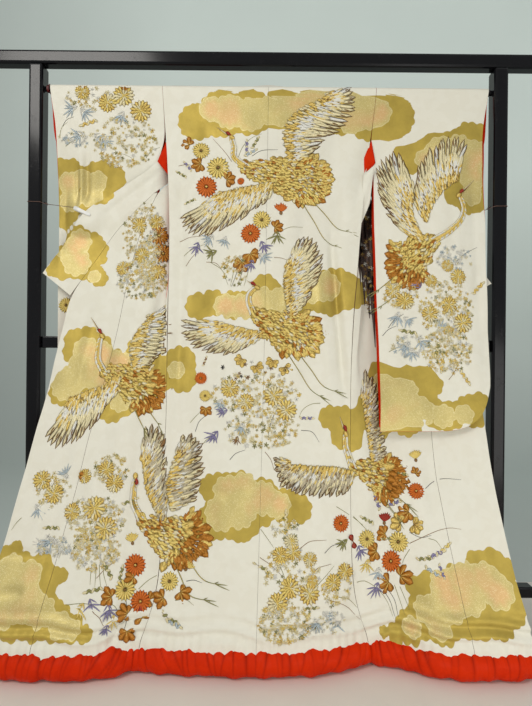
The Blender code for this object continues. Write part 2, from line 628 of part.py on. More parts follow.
def sleeve_points(side, table, facing, lining):
    """Rows of one layer from the bottom to the rod, on the same grid for the silk and for its lining."""
    outer_low, inner_low = reading(table, "out", SLEEVE_BOTTOM[side] + SLEEVE_CORNER), sleeve_inner(side, 0.60)
    shares = 1 - (1 - np.linspace(0, 1, SLEEVE_COLUMNS + 1)) ** 1.5
    rows = []
    for step in SLEEVE_STEPS:
        row = []
        for share in shares:
            lowest = sleeve_bottom(side, inner_low + (outer_low - inner_low) * share, outer_low)
            height = lowest + (ROD_HEIGHT - lowest) * step
            edge, inner = reading(table, "out", height), sleeve_inner(side, height) + PARTING
            out = inner + (edge - inner) * share
            gap = half_gap(side, out, height, edge)
            if lining:
                turning = smooth_step(CUFF_LOW - 0.05, CUFF_LOW + 0.01, height) * smooth_step(1.60, 1.53, height)
                gap -= 0.0025 * turning * smooth_step(0.7, 0.9, share)
                gap -= SHELL_RADIUS - LINING_RADIUS + 2 * PARTING * smooth_step(ROD_HEIGHT, ROD_HEIGHT - 0.05, height)
            row.append([out, sleeve_lean(side, height) + facing * gap, height])
        rows.append(row)
    if not lining:
        return rows
    rows = [row[:-1] for row in rows[1:]]
    for row in rows:
        if row[0][2] < ARMHOLE_LOW - 0.02:
            row[0][0] -= LINING_SHOW
        _, _, height = row[-1]
        share = smooth_step(CUFF_LOW, CUFF_LOW + 0.05, height)
        cuff = reading(table, "out", height) + LINING_SHOW * smooth_step(ROD_HEIGHT, ROD_HEIGHT - 0.05, height)
        row[-1][0] += (cuff - row[-1][0]) * share
    return rows


def sleeve_rows(side, lining):
    """Rows up the near layer, over the rod and down the far layer."""
    near, far = (sleeve_points(side, table[side], facing, lining)
                 for table, facing in ((SLEEVE_OUTER_NEAR, 1), (SLEEVE_OUTER_FAR, -1)))
    radius = LINING_RADIUS if lining else SHELL_RADIUS
    wrap = []
    for k in range(1, WRAP_ROWS):
        angle = math.pi * k / WRAP_ROWS
        level = ROD_HEIGHT + radius * math.sin(angle)
        wrap.append([[a[0] + (b[0] - a[0]) * k / WRAP_ROWS, radius * math.cos(angle), level]
                     for a, b in zip(near[-1], far[-1])])
    return [[point(side, *p) for p in row] for row in near + wrap + far[::-1]]


def sleeve(side, name, parts):
    return grid_object(name, sleeve_rows(side, False), side, WALL, "silk", parts)


def sleeve_lining(side, name, parts):
    return grid_object(name, sleeve_rows(side, True), side, LINING_WALL, "red_silk", parts)


def hem_roll(parts):
    """The padded roll, a closed tube flat underneath, drawn in at every gather."""
    stations = roll_stations()
    centre_height = ROLL_RADIUS - ROLL_SINK
    mesh = bmesh.new()
    rings = []
    for k, (across, deep) in enumerate(stations):
        forward = hem_forward(across)
        slope = (hem_forward(across + 0.004) - hem_forward(across - 0.004)) / 0.008
        if k in (0, len(stations) - 1):
            slope = 0.0
        turn = math.atan(slope)
        radius = ROLL_RADIUS - deep
        ring = []
        for step in range(ROLL_SIDES):
            angle = 2 * math.pi * step / ROLL_SIDES
            reach = radius * math.cos(angle)
            height = centre_height + radius * math.sin(angle) if math.sin(angle) > -0.9 else 0.0
            ring.append(mesh.verts.new((across - reach * math.sin(turn), -(forward + reach * math.cos(turn)), height)))
        rings.append(ring)
    for ring, following in zip(rings, rings[1:]):
        for step in range(ROLL_SIDES):
            after = (step + 1) % ROLL_SIDES
            mesh.faces.new((ring[step], ring[after], following[after], following[step]))
    mesh.faces.new(rings[0][::-1])
    mesh.faces.new(rings[-1])
    bmesh.ops.recalc_face_normals(mesh, faces=mesh.faces)
    data = bpy.data.meshes.new("hem_roll")
    mesh.to_mesh(data)
    mesh.free()
    data.materials.append(material_of("red_silk"))
    data.shade_smooth()
    made = bpy.data.objects.new("hem_roll", data)
    parts.objects.link(made)
    return made


def timber(name, size, place, parts, rounding=TIMBER_ROUNDING):
    """A straight member with rounded edges."""
    bpy.ops.mesh.primitive_cube_add(size=1)
    made = bpy.context.object
    made.name = name
    made.data.transform(Matrix.Diagonal((*size, 1)))
    made.location = place
    made.data.materials.append(material_of("lacquer"))
    bevel = made.modifiers.new("edges", "BEVEL")
    bevel.width = rounding
    bevel.segments = 2
    for old in list(made.users_collection):
        old.objects.unlink(made)
    parts.objects.link(made)
    return made


def cylinder_along_x(name, radius, start, end, height, material, holder, sides=20):
    bpy.ops.mesh.primitive_cylinder_add(vertices=sides, radius=radius, depth=end - start,
                                        rotation=(0, math.pi / 2, 0), location=((start + end) / 2, 0, height))
    made = bpy.context.object
    made.name = name
    made.data.materials.append(material_of(material))
    made.data.shade_smooth()
    made.data.set_sharp_from_angle(angle=math.radians(40))
    for old in list(made.users_collection):
        old.objects.unlink(made)
    holder.objects.link(made)
    return made


def cut(target, cutter):
    cutter.hide_render = True
    cutter.display_type = "WIRE"
    boolean = target.modifiers.new("cut " + cutter.name, "BOOLEAN")
    boolean.operation = "DIFFERENCE"
    boolean.object = cutter


def stand(parts, cutters):
    """Two posts on sledge feet, a top rail that oversails them, a middle rail and a lower rail through them."""
    foot_top = FOOT_SIZE[2]
    rail_under = TOP_RAIL_HEIGHT - TIMBER / 2
    inner = POST_OUT - TIMBER / 2
    post_length = rail_under - foot_top - 2 * SEAT
    timber("top_rail", (TOP_RAIL_LENGTH, TIMBER, TIMBER), (0, 0, TOP_RAIL_HEIGHT), parts)
    timber("middle_rail", (2 * (inner - SEAT), *MIDDLE_RAIL_SIZE), (0, 0, MIDDLE_RAIL_HEIGHT), parts, 0.004)
    timber("lower_rail", (LOWER_RAIL_LENGTH, *LOWER_RAIL_SIZE), (0, 0, LOWER_RAIL_HEIGHT), parts, 0.005)
    for side, word in ((LEFT, "left"), (RIGHT, "right")):
        timber(f"foot_{word}", FOOT_SIZE, (side * POST_OUT, 0, foot_top / 2), parts)
        post = timber(f"post_{word}", (TIMBER * 1.0, TIMBER * 1.25, post_length),
                      (side * POST_OUT, 0, foot_top + SEAT + post_length / 2), parts)
        mortise = timber(f"mortise_{word}", (2 * TIMBER, LOWER_RAIL_SIZE[0] + 2 * SEAT, LOWER_RAIL_SIZE[1] + 2 * SEAT),
                         (side * POST_OUT, 0, LOWER_RAIL_HEIGHT), cutters, 0.005)
        cut(post, mortise)
        socket_end = side * (inner + ROD_SOCKET)
        start, end = sorted((side * (inner - 0.02), socket_end))
        socket = cylinder_along_x(f"socket_{word}", ROD_RADIUS * 0.8 + SEAT, start, end, ROD_HEIGHT, "lacquer", cutters)
        cut(post, socket)


def rod(parts):
    """The rod with thinner ends that stand in the posts, and a flared cap at its left end."""
    inner = POST_OUT - TIMBER / 2
    seat_end = inner + ROD_SOCKET - SEAT
    thin = ROD_RADIUS * 0.8
    shoulder = inner - 0.006
    profile = [(-seat_end, 0.0), (-seat_end, thin), (-shoulder, thin), (-shoulder, ROD_RADIUS),
               (shoulder, ROD_RADIUS), (shoulder, thin), (seat_end, thin), (seat_end, 0.0)]
    turned("rod", profile, 2 * WRAP_ROWS, "lacquer", parts)
    near = -(inner - 0.0065)
    far = near + CAP_LENGTH
    hole = ROD_RADIUS + SEAT
    cap = [(near, hole), (near, hole + 0.0012), (near + 0.006, hole + 0.0014), (far - 0.001, CAP_RADIUS),
           (far, CAP_RADIUS - 0.001), (far, hole)]
    turned("rod_cap", cap + cap[:1], 20, "cap", parts)


def turned(name, profile, sides, material, parts):
    """A shape turned about the rod's axis from its profile, as pairs of place along X and radius."""
    mesh = bpy.data.meshes.new(name)
    mesh.from_pydata([(across, 0, radius) for across, radius in profile], [(i, i + 1) for i in range(len(profile) - 1)],
                     [])
    mesh.materials.append(material_of(material))
    made = bpy.data.objects.new(name, mesh)
    made.location = (0, 0, ROD_HEIGHT)
    parts.objects.link(made)
    screw = made.modifiers.new("turn", "SCREW")
    screw.axis = "X"
    screw.steps = screw.render_steps = sides
    screw.use_merge_vertices = True
    screw.merge_threshold = 0.00001
    screw.use_normal_flip = True
    return made


def forward_on(rows, out, height):
    """How far forward a surface is at a place, from the triangles of its rows."""
    for upper, lower in zip(rows, rows[1:]):
        for a, b, c, d in zip(upper, upper[1:], lower[1:], lower):
            for corners in ((a, b, c), (a, c, d)):
                sides = np.array([[p[0] for p in corners], [p[2] for p in corners], [1, 1, 1]], float)
                if abs(np.linalg.det(sides)) < 1e-12:
                    continue
                weights = np.linalg.solve(sides, (out, height, 1))
                if weights.min() > -1e-6:
                    return float(weights @ [p[1] for p in corners])
    raise ValueError("the place is off the surface")


def clip_frame(side):
    """The clip's handle end, and its directions along the jaws, across them and out from the collar."""
    rows = [curve_through(section, COLLAR_COLUMNS + 1) for section in collar_sections(side)]
    bite = [np.array([out, forward_on(rows, out, height), height])
            for out, height in ((0.550, 1.262), (0.563, 1.268), (0.560, 1.252))]
    outwards = np.cross(bite[1] - bite[0], bite[2] - bite[0])
    outwards *= np.sign(outwards[1]) / np.linalg.norm(outwards)
    along = np.array([-0.054, 0.0, -0.025])
    along -= outwards * np.dot(along, outwards)
    along /= np.linalg.norm(along)
    return bite[0] - along * (CLIP_LENGTH - 0.003), along, np.cross(along, outwards), outwards


def clip(side, name, parts):
    """A sprung clip: two jaws, joined at the handle, with the collar's edge between them."""
    handle, along, across, outwards = clip_frame(side)
    behind, before = CLIP_SLOT
    profile = [(0.0, behind - CLIP_JAW), (0.0, before + CLIP_JAW), (0.030, before + CLIP_JAW),
               (CLIP_LENGTH, before + CLIP_JAW * 0.6), (CLIP_LENGTH, before), (0.006, before), (0.006, behind),
               (CLIP_LENGTH, behind), (CLIP_LENGTH, behind - CLIP_JAW * 0.6), (0.030, behind - CLIP_JAW)]
    mesh = bmesh.new()
    ends = []
    for shift in (-CLIP_WIDTH / 2, CLIP_WIDTH / 2):
        ends.append([mesh.verts.new(point(side, *(handle + u * along + n * outwards + shift * across)))
                     for u, n in profile])
    mesh.faces.new(ends[0])
    mesh.faces.new(ends[1][::-1])
    for i in range(len(profile)):
        j = (i + 1) % len(profile)
        mesh.faces.new((ends[0][j], ends[0][i], ends[1][i], ends[1][j]))
    bmesh.ops.recalc_face_normals(mesh, faces=mesh.faces)
    data = bpy.data.meshes.new(name)
    mesh.to_mesh(data)
    mesh.free()
    data.materials.append(material_of("clip"))
    made = bpy.data.objects.new(name, data)
    parts.objects.link(made)
    return made


def cord_route(side):
    """From the clip's handle to the post and once round it."""
    handle, along, _, _ = clip_frame(side)
    start = handle - along * (CORD_RADIUS + 2 * SEAT)
    rounding = TIMBER_ROUNDING + CORD_RADIUS + 2 * SEAT
    half_out, half_deep = TIMBER / 2 + CORD_RADIUS + 2 * SEAT, TIMBER * 1.25 / 2 + CORD_RADIUS + 2 * SEAT
    route = [tuple(start), (0.688, 0.022 if side == LEFT else 0.002, 1.2985)]
    corners = ((-1, 1, 180), (1, 1, 90), (1, -1, 0), (-1, -1, -90))
    height = 1.3020
    for right, front, angle in corners:
        for turn in (0, -30, -60, -90):
            at = math.radians(angle + turn)
            height += 0.0005
            route.append((POST_OUT + right * (half_out - rounding) + rounding * math.cos(at),
                          front * (half_deep - rounding) + rounding * math.sin(at), height))
        ahead = math.radians(angle - 180)
        straight = (half_deep if abs(math.cos(ahead)) < 0.5 else half_out) - rounding
        route.append(tuple(np.array(route[-1]) + straight * np.array([math.cos(ahead), math.sin(ahead), 0.0])))
    return curve_through(route, CORD_POINTS)


def cord(side, name, parts):
    """The cord from a clip to its post, as a plain tube."""
    centre = cord_route(side)
    curve = bpy.data.curves.new(name, "CURVE")
    curve.dimensions = "3D"
    curve.bevel_depth = CORD_RADIUS
    curve.bevel_resolution = 2
    curve.use_fill_caps = True
    spline = curve.splines.new("POLY")
    spline.points.add(len(centre) - 1)
    for target, place in zip(spline.points, centre):
        target.co = (*point(side, *place), 1)
    curve.materials.append(material_of("cord"))
    made = bpy.data.objects.new(name, curve)
    parts.objects.link(made)
    return made


def main():
    clear_scene()
    parts = new_collection("uchikake on its stand")
    cutters = new_collection("cutters")
    stand(parts, cutters)
    rod(parts)
    for side, word in ((LEFT, "left"), (RIGHT, "right")):
        body_half(side, word, parts)
        okumi(side, f"okumi_{word}", parts)
        sleeve(side, f"sleeve_{word}", parts)
        sleeve_lining(side, f"sleeve_lining_{word}", parts)
        clip(side, f"clip_{word}", parts)
        cord(side, f"cord_{word}", parts)
    collar(parts)
    hem_roll(parts)
    front = max(HEM_LINE["forward"]) + ROLL_RADIUS
    for thing in [*parts.objects, *cutters.objects]:
        thing.location.y += (front - FOOT_SIZE[1] / 2) / 2


main()
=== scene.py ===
import itertools
import math
import random

import bmesh
import bpy
import numpy as np
from mathutils import Matrix, Vector
from mathutils.bvhtree import BVHTree


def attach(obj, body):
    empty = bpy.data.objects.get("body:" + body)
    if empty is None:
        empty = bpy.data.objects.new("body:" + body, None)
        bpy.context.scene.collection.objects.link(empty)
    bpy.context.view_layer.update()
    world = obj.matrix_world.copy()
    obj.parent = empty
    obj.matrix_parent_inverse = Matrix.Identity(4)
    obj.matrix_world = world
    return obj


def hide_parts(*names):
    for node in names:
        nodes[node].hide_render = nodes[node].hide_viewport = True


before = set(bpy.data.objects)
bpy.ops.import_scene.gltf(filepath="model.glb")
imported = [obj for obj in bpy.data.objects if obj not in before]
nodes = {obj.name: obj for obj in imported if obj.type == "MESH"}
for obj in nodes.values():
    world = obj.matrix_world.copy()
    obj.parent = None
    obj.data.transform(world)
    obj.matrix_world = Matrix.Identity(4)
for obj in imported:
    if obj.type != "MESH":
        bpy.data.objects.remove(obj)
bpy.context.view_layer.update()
rodPlane = 0.0796  # the rod's axis, from the middle of the footprint
fullTurn = 6.2832
random.seed(11)


# camera and room

view = {"place": (0.0, rodPlane - 1.68, 0.84), "roll": 0.0098, "lens": 27.08, "sensor": 36.0}
lamps = {
    "key": {"place": (-1.5, -2.5, 3.0), "aim": (0.0, 0.0, 0.8), "size": 1.2, "power": 43.5,
            "colour": (1.0, 0.97, 0.92)},
    "fill": {"place": (1.1, -2.1, 0.32), "aim": (0.1, 0.0, 0.15), "size": 1.6, "power": 17.5,
             "colour": (1.0, 0.98, 0.95)},
}
# the wall's glow in this table is painted light: the sweep glows with its own colour
room = {"floor": (0.79, 0.76, 0.69), "wall": (0.78, 0.87, 0.82), "air": (0.86, 0.88, 0.87),
        "airStrength": 0.50, "glow": 0.16, "paperStarts": 0.37, "bendStarts": 2.3, "bend": 1.2,
        "bendSteps": 24, "side": 4.6, "high": 5.4}


def makeCamera():
    data = bpy.data.cameras.new("camera")
    data.lens = view["lens"]
    data.sensor_width = view["sensor"]
    data.sensor_fit = "AUTO"
    camera = bpy.data.objects.new("camera", data)
    bpy.context.scene.collection.objects.link(camera)
    turn = Matrix.Rotation(math.pi / 2, 4, "X") @ Matrix.Rotation(view["roll"], 4, "Z")
    camera.matrix_world = Matrix.Translation(view["place"]) @ turn
    bpy.context.scene.camera = camera


def makeLamps():
    for name, facts in lamps.items():
        data = bpy.data.lights.new(name, "AREA")
        data.shape = "DISK"
        data.size = facts["size"]
        data.energy = facts["power"]
        data.color = facts["colour"]
        lamp = bpy.data.objects.new(name, data)
        lamp.location = facts["place"]
        aim = Vector(facts["aim"]) - Vector(facts["place"])
        lamp.rotation_euler = aim.to_track_quat("-Z", "Y").to_euler()
        bpy.context.scene.collection.objects.link(lamp)
    world = bpy.data.worlds.new("air")
    world.use_nodes = True
    air = world.node_tree.nodes["Background"]
    air.inputs["Color"].default_value = (*room["air"], 1)
    air.inputs["Strength"].default_value = room["airStrength"]
    bpy.context.scene.world = world
    bpy.context.scene.view_settings.view_transform = "Standard"


makeCamera()
makeLamps()
print("camera and lamps")


# material tools

def feed(tree, socket, value):
    if isinstance(value, bpy.types.NodeSocket):
        tree.links.new(value, socket)
    else:
        socket.default_value = value


def addNode(tree, kind, inputs=None, **settings):
    node = tree.nodes.new(kind)
    for name, value in settings.items():
        setattr(node, name, value)
    for name, value in (inputs or {}).items():
        feed(tree, node.inputs[name], value)
    return node


def mathOf(tree, operation, a, b=0.0):
    return addNode(tree, "ShaderNodeMath", {0: a, 1: b}, operation=operation).outputs[0]


def timesOf(tree, a, b):
    return mathOf(tree, "MULTIPLY", a, b)


def addOf(tree, a, b):
    return mathOf(tree, "ADD", a, b)


def mixOf(tree, share, a, b, blend="MIX"):
    node = addNode(tree, "ShaderNodeMix", data_type="RGBA", blend_type=blend, clamp_factor=True)
    for index, value in ((0, share), (6, a), (7, b)):  # the node's sockets for colours
        feed(tree, node.inputs[index], (*value, 1) if isinstance(value, tuple) else value)
    return node.outputs[2]


def rangeOf(tree, value, low, high, to=(0.0, 1.0)):
    return addNode(tree, "ShaderNodeMapRange", {"Value": value, "From Min": low, "From Max": high,
                                                "To Min": to[0], "To Max": to[1]}).outputs[0]


def noiseOf(tree, vector, scale, detail=2.0, roughness=0.5):
    return addNode(tree, "ShaderNodeTexNoise", {"Vector": vector, "Scale": scale, "Detail": detail,
                                                "Roughness": roughness}).outputs["Fac"]


def newGroup(name, vector, numbers, outputs):
    # a shader group that takes a vector and numbers, and puts out numbers
    tree = bpy.data.node_groups.new(name, "ShaderNodeTree")
    tree.interface.new_socket(vector, in_out="INPUT", socket_type="NodeSocketVector")
    for label, value in numbers.items():
        tree.interface.new_socket(label, in_out="INPUT", socket_type="NodeSocketFloat").default_value = value
    for label in outputs:
        tree.interface.new_socket(label, in_out="OUTPUT", socket_type="NodeSocketFloat")
    return tree, tree.nodes.new("NodeGroupInput").outputs, tree.nodes.new("NodeGroupOutput").inputs


def weaveGroup():
    # fine warp and weft, with slubs where a thread is thicker
    tree, given, out = newGroup("weave", "Vector", {"Threads": 900.0, "Slub": 0.3}, ("Height", "Shade"))
    parts = addNode(tree, "ShaderNodeSeparateXYZ", {0: given["Vector"]}).outputs
    across = addOf(tree, parts[0], timesOf(tree, parts[1], 0.63))
    waves = []
    for run in (across, parts[2]):
        turn = timesOf(tree, run, timesOf(tree, given["Threads"], fullTurn))
        waves.append(mathOf(tree, "SINE", turn))
    height = timesOf(tree, waves[0], waves[1])
    slub = noiseOf(tree, given["Vector"], 220.0, 3.0, 0.6)
    shade = timesOf(tree, mathOf(tree, "SUBTRACT", slub, 0.5), given["Slub"])
    tree.links.new(addOf(tree, timesOf(tree, height, 0.5), shade), out["Height"])
    tree.links.new(addOf(tree, shade, 0.5), out["Shade"])
    return tree


def threadGroup():
    # couched thread that runs across a motif's own length: u goes along it and v across
    tree, given, out = newGroup("thread", "UV", {"Lines": 40.0, "Spread": 0.5}, ("Height", "Shade"))
    parts = addNode(tree, "ShaderNodeSeparateXYZ", {0: given["UV"]}).outputs
    slant = addOf(tree, parts[0], timesOf(tree, parts[1], 0.35))
    lines = mathOf(tree, "SINE", timesOf(tree, slant, timesOf(tree, given["Lines"], fullTurn)))
    uneven = noiseOf(tree, given["UV"], 26.0, 2.0, 0.7)
    tree.links.new(addOf(tree, timesOf(tree, lines, 0.5), 0.5), out["Height"])
    spread = timesOf(tree, mathOf(tree, "SUBTRACT", uneven, 0.5), given["Spread"])
    tree.links.new(addOf(tree, spread, 0.5), out["Shade"])
    return tree


def glintGroup():
    # a mask of specks where painted glints of gold leaf catching the light go, each cell with its own
    # brightness
    tree, given, out = newGroup("glint", "Vector", {"Specks": 420.0, "Share": 0.25}, ("Mask", "Shade"))
    cells = addNode(tree, "ShaderNodeTexVoronoi", {"Vector": given["Vector"], "Scale": given["Specks"]})
    own = addNode(tree, "ShaderNodeSeparateColor", {0: cells.outputs["Color"]}).outputs
    near = mathOf(tree, "LESS_THAN", cells.outputs["Distance"], 0.42)
    lit = mathOf(tree, "LESS_THAN", own[0], given["Share"])
    tree.links.new(timesOf(tree, near, lit), out["Mask"])
    tree.links.new(own[1], out["Shade"])
    return tree


groups = {"weave": weaveGroup(), "thread": threadGroup(), "glint": glintGroup()}


def useGroup(tree, name, **inputs):
    node = tree.nodes.new("ShaderNodeGroup")
    node.node_tree = groups[name]
    for label, value in inputs.items():
        feed(tree, node.inputs[label], value)
    return node.outputs


def newMaterial(name, **plain):
    # plain values sit on the shader's own sockets
    material = bpy.data.materials.new(name)
    material.use_nodes = True
    tree = material.node_tree
    shader = tree.nodes["Principled BSDF"]
    for label, value in plain.items():
        socket = shader.inputs[label.replace("_", " ")]
        socket.default_value = (*value, 1) if isinstance(value, tuple) else value
    place = tree.nodes.new("ShaderNodeTexCoord").outputs
    return material, tree, shader, place


def linkBump(tree, shader, height, strength, distance):
    bump = addNode(tree, "ShaderNodeBump", {"Height": height, "Strength": strength, "Distance": distance})
    tree.links.new(bump.outputs[0], shader.inputs["Normal"])


def shaded(colour, share):
    return tuple(c * share for c in colour)


clothLooks = {
    # the ground of the silk, its shade in the hollows of the figure, sheen and weave; for the red silk also a
    # dark colour, painted shade for the grooves of the hem roll's gathers
    "silk": {"ground": (0.83, 0.81, 0.70), "figure": (0.775, 0.745, 0.62), "tint": (0.81, 0.745, 0.63),
             "rough": 0.50, "sheen": 0.20, "specular": 0.22, "threads": 780.0, "bump": 0.25},
    "redSilk": {"ground": (0.66, 0.026, 0.002), "figure": (0.52, 0.016, 0.001), "tint": (0.72, 0.040, 0.003),
                "rough": 0.48, "sheen": 0.0, "specular": 0.06, "threads": 700.0, "bump": 0.22,
                "pleat": (0.20, 0.006, 0.001)},
}


cloudLooks = {
    # gold leaf clouds: olive lobes under, pale ones over them and a peach bloom; a lobe is x, z, radius in mm
    "deep": (0.49, 0.360, 0.070), "pale": (0.68, 0.56, 0.22), "peach": (0.74, 0.45, 0.21),
    "fleck": (0.97, 0.90, 0.56), "metal": 0.32, "rough": 0.46, "scallop": 0.033, "ripple": 0.0078,
    "base": (
        (-582, 1392, 32), (-700, 140, 40), (-706, 232, 40), (-668, 207, 40), (-223, 1562, 60),
        (-145, 1588, 77), (-58, 1592, 75), (43, 1606, 67), (137, 1613, 60), (231, 1598, 71), (313, 1583, 72),
        (388, 1584, 72), (-204, 980, 42), (-162, 990, 42), (-104, 984, 45), (-56, 985, 45), (-5, 1041, 40),
        (26, 1001, 48), (101, 1002, 48), (156, 1030, 67), (209, 1035, 70), (254, 1028, 55), (193, 991, 39),
        (276, 1029, 43), (-148, 462, 37), (-119, 455, 50), (-69, 461, 48), (-7, 443, 47), (57, 417, 45),
        (93, 410, 39), (-67, 392, 66), (-136, 378, 50), (-168, 346, 25), (-61, 364, 38), (-7, 400, 39),
        (188, 656, 35), (223, 653, 38), (246, 634, 41), (270, 653, 35), (224, 603, 37), (250, 592, 32),
        (-573, 873, 36), (-538, 880, 36), (-501, 856, 39), (-577, 837, 33), (-539, 814, 47), (-574, 740, 56),
        (-601, 720, 41), (-529, 726, 59), (-460, 785, 65), (-413, 742, 53), (-446, 679, 46), (-418, 690, 41),
        (-343, 771, 71), (-375, 845, 42), (-255, 811, 48), (-247, 764, 44), (-673, 304, 19), (-695, 272, 38),
        (-650, 255, 40), (-601, 256, 37), (-567, 240, 27), (-540, 241, 19), (-628, 210, 42), (-580, 193, 37),
        (-662, 175, 57), (-592, 156, 62), (-537, 141, 46), (-496, 129, 33), (-459, 115, 21), (-651, 122, 31),
        (583, 271, 33), (622, 279, 33), (648, 258, 35), (422, 204, 32), (448, 224, 27), (471, 198, 53),
        (530, 212, 59), (606, 212, 64), (641, 190, 53), (655, 163, 37), (620, 146, 45), (567, 142, 42),
        (527, 135, 31), (440, 144, 53), (390, 113, 35), (355, 94, 22), (325, 94, 13), (474, 122, 37),
        (-649, 1417, 32), (-616, 1423, 25), (-629, 1363, 50), (-552, 1409, 28), (-514, 1409, 35),
        (-485, 1384, 41), (-526, 1346, 50), (-589, 1331, 57), (-635, 1300, 44), (-640, 1252, 28),
        (-620, 1268, 28), (-656, 1087, 21), (-626, 1087, 31), (-629, 1134, 46), (-591, 1182, 49),
        (-539, 1183, 28), (-519, 1158, 28), (-512, 1126, 18), (-534, 1082, 31), (-514, 1064, 27),
        (-572, 1113, 55), (420, 1471, 28), (454, 1480, 28), (451, 1433, 28), (476, 1455, 41), (523, 1481, 56),
        (586, 1482, 63), (627, 1530, 41), (658, 1536, 31), (651, 1469, 57), (634, 1388, 50), (584, 1338, 37),
        (626, 1324, 47), (659, 1325, 38), (337, 793, 27), (359, 750, 59), (424, 765, 44), (469, 774, 35),
        (494, 751, 32), (450, 707, 58), (376, 678, 64), (326, 689, 59), (506, 665, 44), (550, 665, 41),
        (596, 686, 38), (627, 703, 29), (619, 666, 41), (332, 635, 46), (419, 636, 40), (534, 637, 23),
    ),
    "light": (
        (-668, 208, 34), (-712, 236, 34), (-5, 1600, 46), (98, 1612, 48), (-582, 1385, 28), (630, 1440, 40),
        (-177, 1603, 41), (-120, 1595, 56), (-58, 1586, 56), (40, 1590, 44), (155, 1629, 44), (240, 1620, 53),
        (303, 1599, 56), (262, 1573, 44), (344, 1599, 44), (-122, 981, 39), (-71, 978, 42), (-14, 1000, 42),
        (50, 1001, 42), (132, 1039, 49), (178, 1046, 49), (-103, 455, 42), (-61, 466, 39), (-118, 398, 47),
        (-68, 404, 47), (-7, 436, 45), (38, 417, 36), (-539, 844, 39), (-548, 779, 53), (-589, 740, 47),
        (-493, 829, 42), (-437, 800, 47), (-471, 742, 53), (-424, 699, 35), (-266, 787, 27), (-677, 254, 36),
        (-626, 244, 34), (-635, 176, 42), (-700, 180, 34), (-680, 150, 34), (-705, 215, 30), (-610, 195, 30),
        (-580, 162, 39), (-523, 135, 31), (-491, 125, 23), (487, 222, 38), (541, 235, 43), (596, 234, 43),
        (626, 208, 43), (494, 177, 48), (442, 158, 37), (395, 114, 24), (462, 125, 31), (548, 190, 40),
        (-629, 1373, 35), (-590, 1384, 31), (-536, 1378, 31), (-557, 1330, 38), (-622, 1316, 38),
        (-611, 1150, 40), (-582, 1182, 37), (-587, 1113, 43), (-530, 1070, 21), (492, 1455, 31),
        (539, 1481, 44), (595, 1482, 47), (651, 1469, 44), (640, 1395, 41), (639, 1340, 34), (349, 735, 47),
        (408, 730, 41), (376, 672, 52), (449, 673, 46), (521, 660, 35), (580, 666, 29), (333, 645, 35),
    ),
}


def cloudShades(tree, place):
    depth = addNode(tree, "ShaderNodeAttribute", attribute_name="cloudDepth").outputs["Fac"]
    inner = addNode(tree, "ShaderNodeAttribute", attribute_name="paleDepth").outputs["Fac"]
    cloud = rangeOf(tree, depth, 0.0, 0.0010)
    pale = rangeOf(tree, inner, 0.0, 0.0014)
    glint = useGroup(tree, "glint", Vector=place["Object"], Specks=460.0, Share=0.40)
    mottle = noiseOf(tree, place["Object"], 14.0, 4.0, 0.65)
    under = mixOf(tree, rangeOf(tree, mottle, 0.35, 0.7), shaded(cloudLooks["deep"], 0.90),
                  shaded(cloudLooks["deep"], 1.16))
    over = mixOf(tree, rangeOf(tree, mottle, 0.3, 0.7), shaded(cloudLooks["pale"], 0.84), cloudLooks["pale"])
    bloom = timesOf(tree, rangeOf(tree, noiseOf(tree, place["Object"], 7.5, 1.0), 0.46, 0.62),
                   rangeOf(tree, inner, 0.004, 0.024))
    over = mixOf(tree, timesOf(tree, bloom, 0.75), over, cloudLooks["peach"])
    # painted glints: bright specks of the fleck colour where the gold leaf would catch the light
    over = mixOf(tree, timesOf(tree, glint["Mask"], 0.44), over, cloudLooks["fleck"])
    edge = timesOf(tree, pale, mathOf(tree, "SUBTRACT", 1.0, rangeOf(tree, inner, 0.001, 0.004)))
    over = mixOf(tree, timesOf(tree, edge, 0.35), over, cloudLooks["fleck"])
    leaf = mixOf(tree, pale, under, over)
    sheen = rangeOf(tree, glint["Shade"], 0.0, 1.0, (cloudLooks["rough"] - 0.12, cloudLooks["rough"] + 0.10))
    return cloud, sheen, leaf


def silkMaterial(name):
    looks = clothLooks[name]
    material, tree, shader, place = newMaterial(name, Sheen_Weight=looks["sheen"], Sheen_Roughness=0.4,
                                                Specular_IOR_Level=looks["specular"])
    weave = useGroup(tree, "weave", Vector=place["Object"], Threads=looks["threads"], Slub=0.5)
    figure = rangeOf(tree, noiseOf(tree, place["Object"], 34.0, 1.0), 0.46, 0.54)
    wide = rangeOf(tree, noiseOf(tree, place["Object"], 2.6, 2.0), 0.35, 0.75)
    colour = mixOf(tree, timesOf(tree, figure, 0.30), looks["ground"], looks["figure"])
    colour = mixOf(tree, timesOf(tree, wide, 0.25), colour, looks["tint"])
    slubs = mixOf(tree, weave["Shade"], (0.0, 0.0, 0.0), (1.0, 1.0, 1.0))
    colour = mixOf(tree, 0.10, colour, slubs, "SOFT_LIGHT")
    rough = rangeOf(tree, figure, 0.0, 1.0, (looks["rough"] - 0.06, looks["rough"] + 0.08))
    height = weave["Height"]
    if name == "redSilk":
        # painted shade: the red silk darkens where the hem roll's gathers are deep
        pleat = addNode(tree, "ShaderNodeAttribute", attribute_name="pleat").outputs["Fac"]
        colour = mixOf(tree, rangeOf(tree, pleat, 0.10, 0.9, (0.0, 0.75)), colour, looks["pleat"])
    if name == "silk":
        cloud, sheen, leaf = cloudShades(tree, place)
        colour = mixOf(tree, cloud, colour, leaf)
        rough = addOf(tree, timesOf(tree, rough, mathOf(tree, "SUBTRACT", 1.0, cloud)),
                       timesOf(tree, sheen, cloud))
        tree.links.new(timesOf(tree, cloud, cloudLooks["metal"]), shader.inputs["Metallic"])
        height = addOf(tree, height, timesOf(tree, cloud, 1.5))
    tree.links.new(colour, shader.inputs["Base Color"])
    tree.links.new(rough, shader.inputs["Roughness"])
    linkBump(tree, shader, height, looks["bump"], 0.0004)
    return material


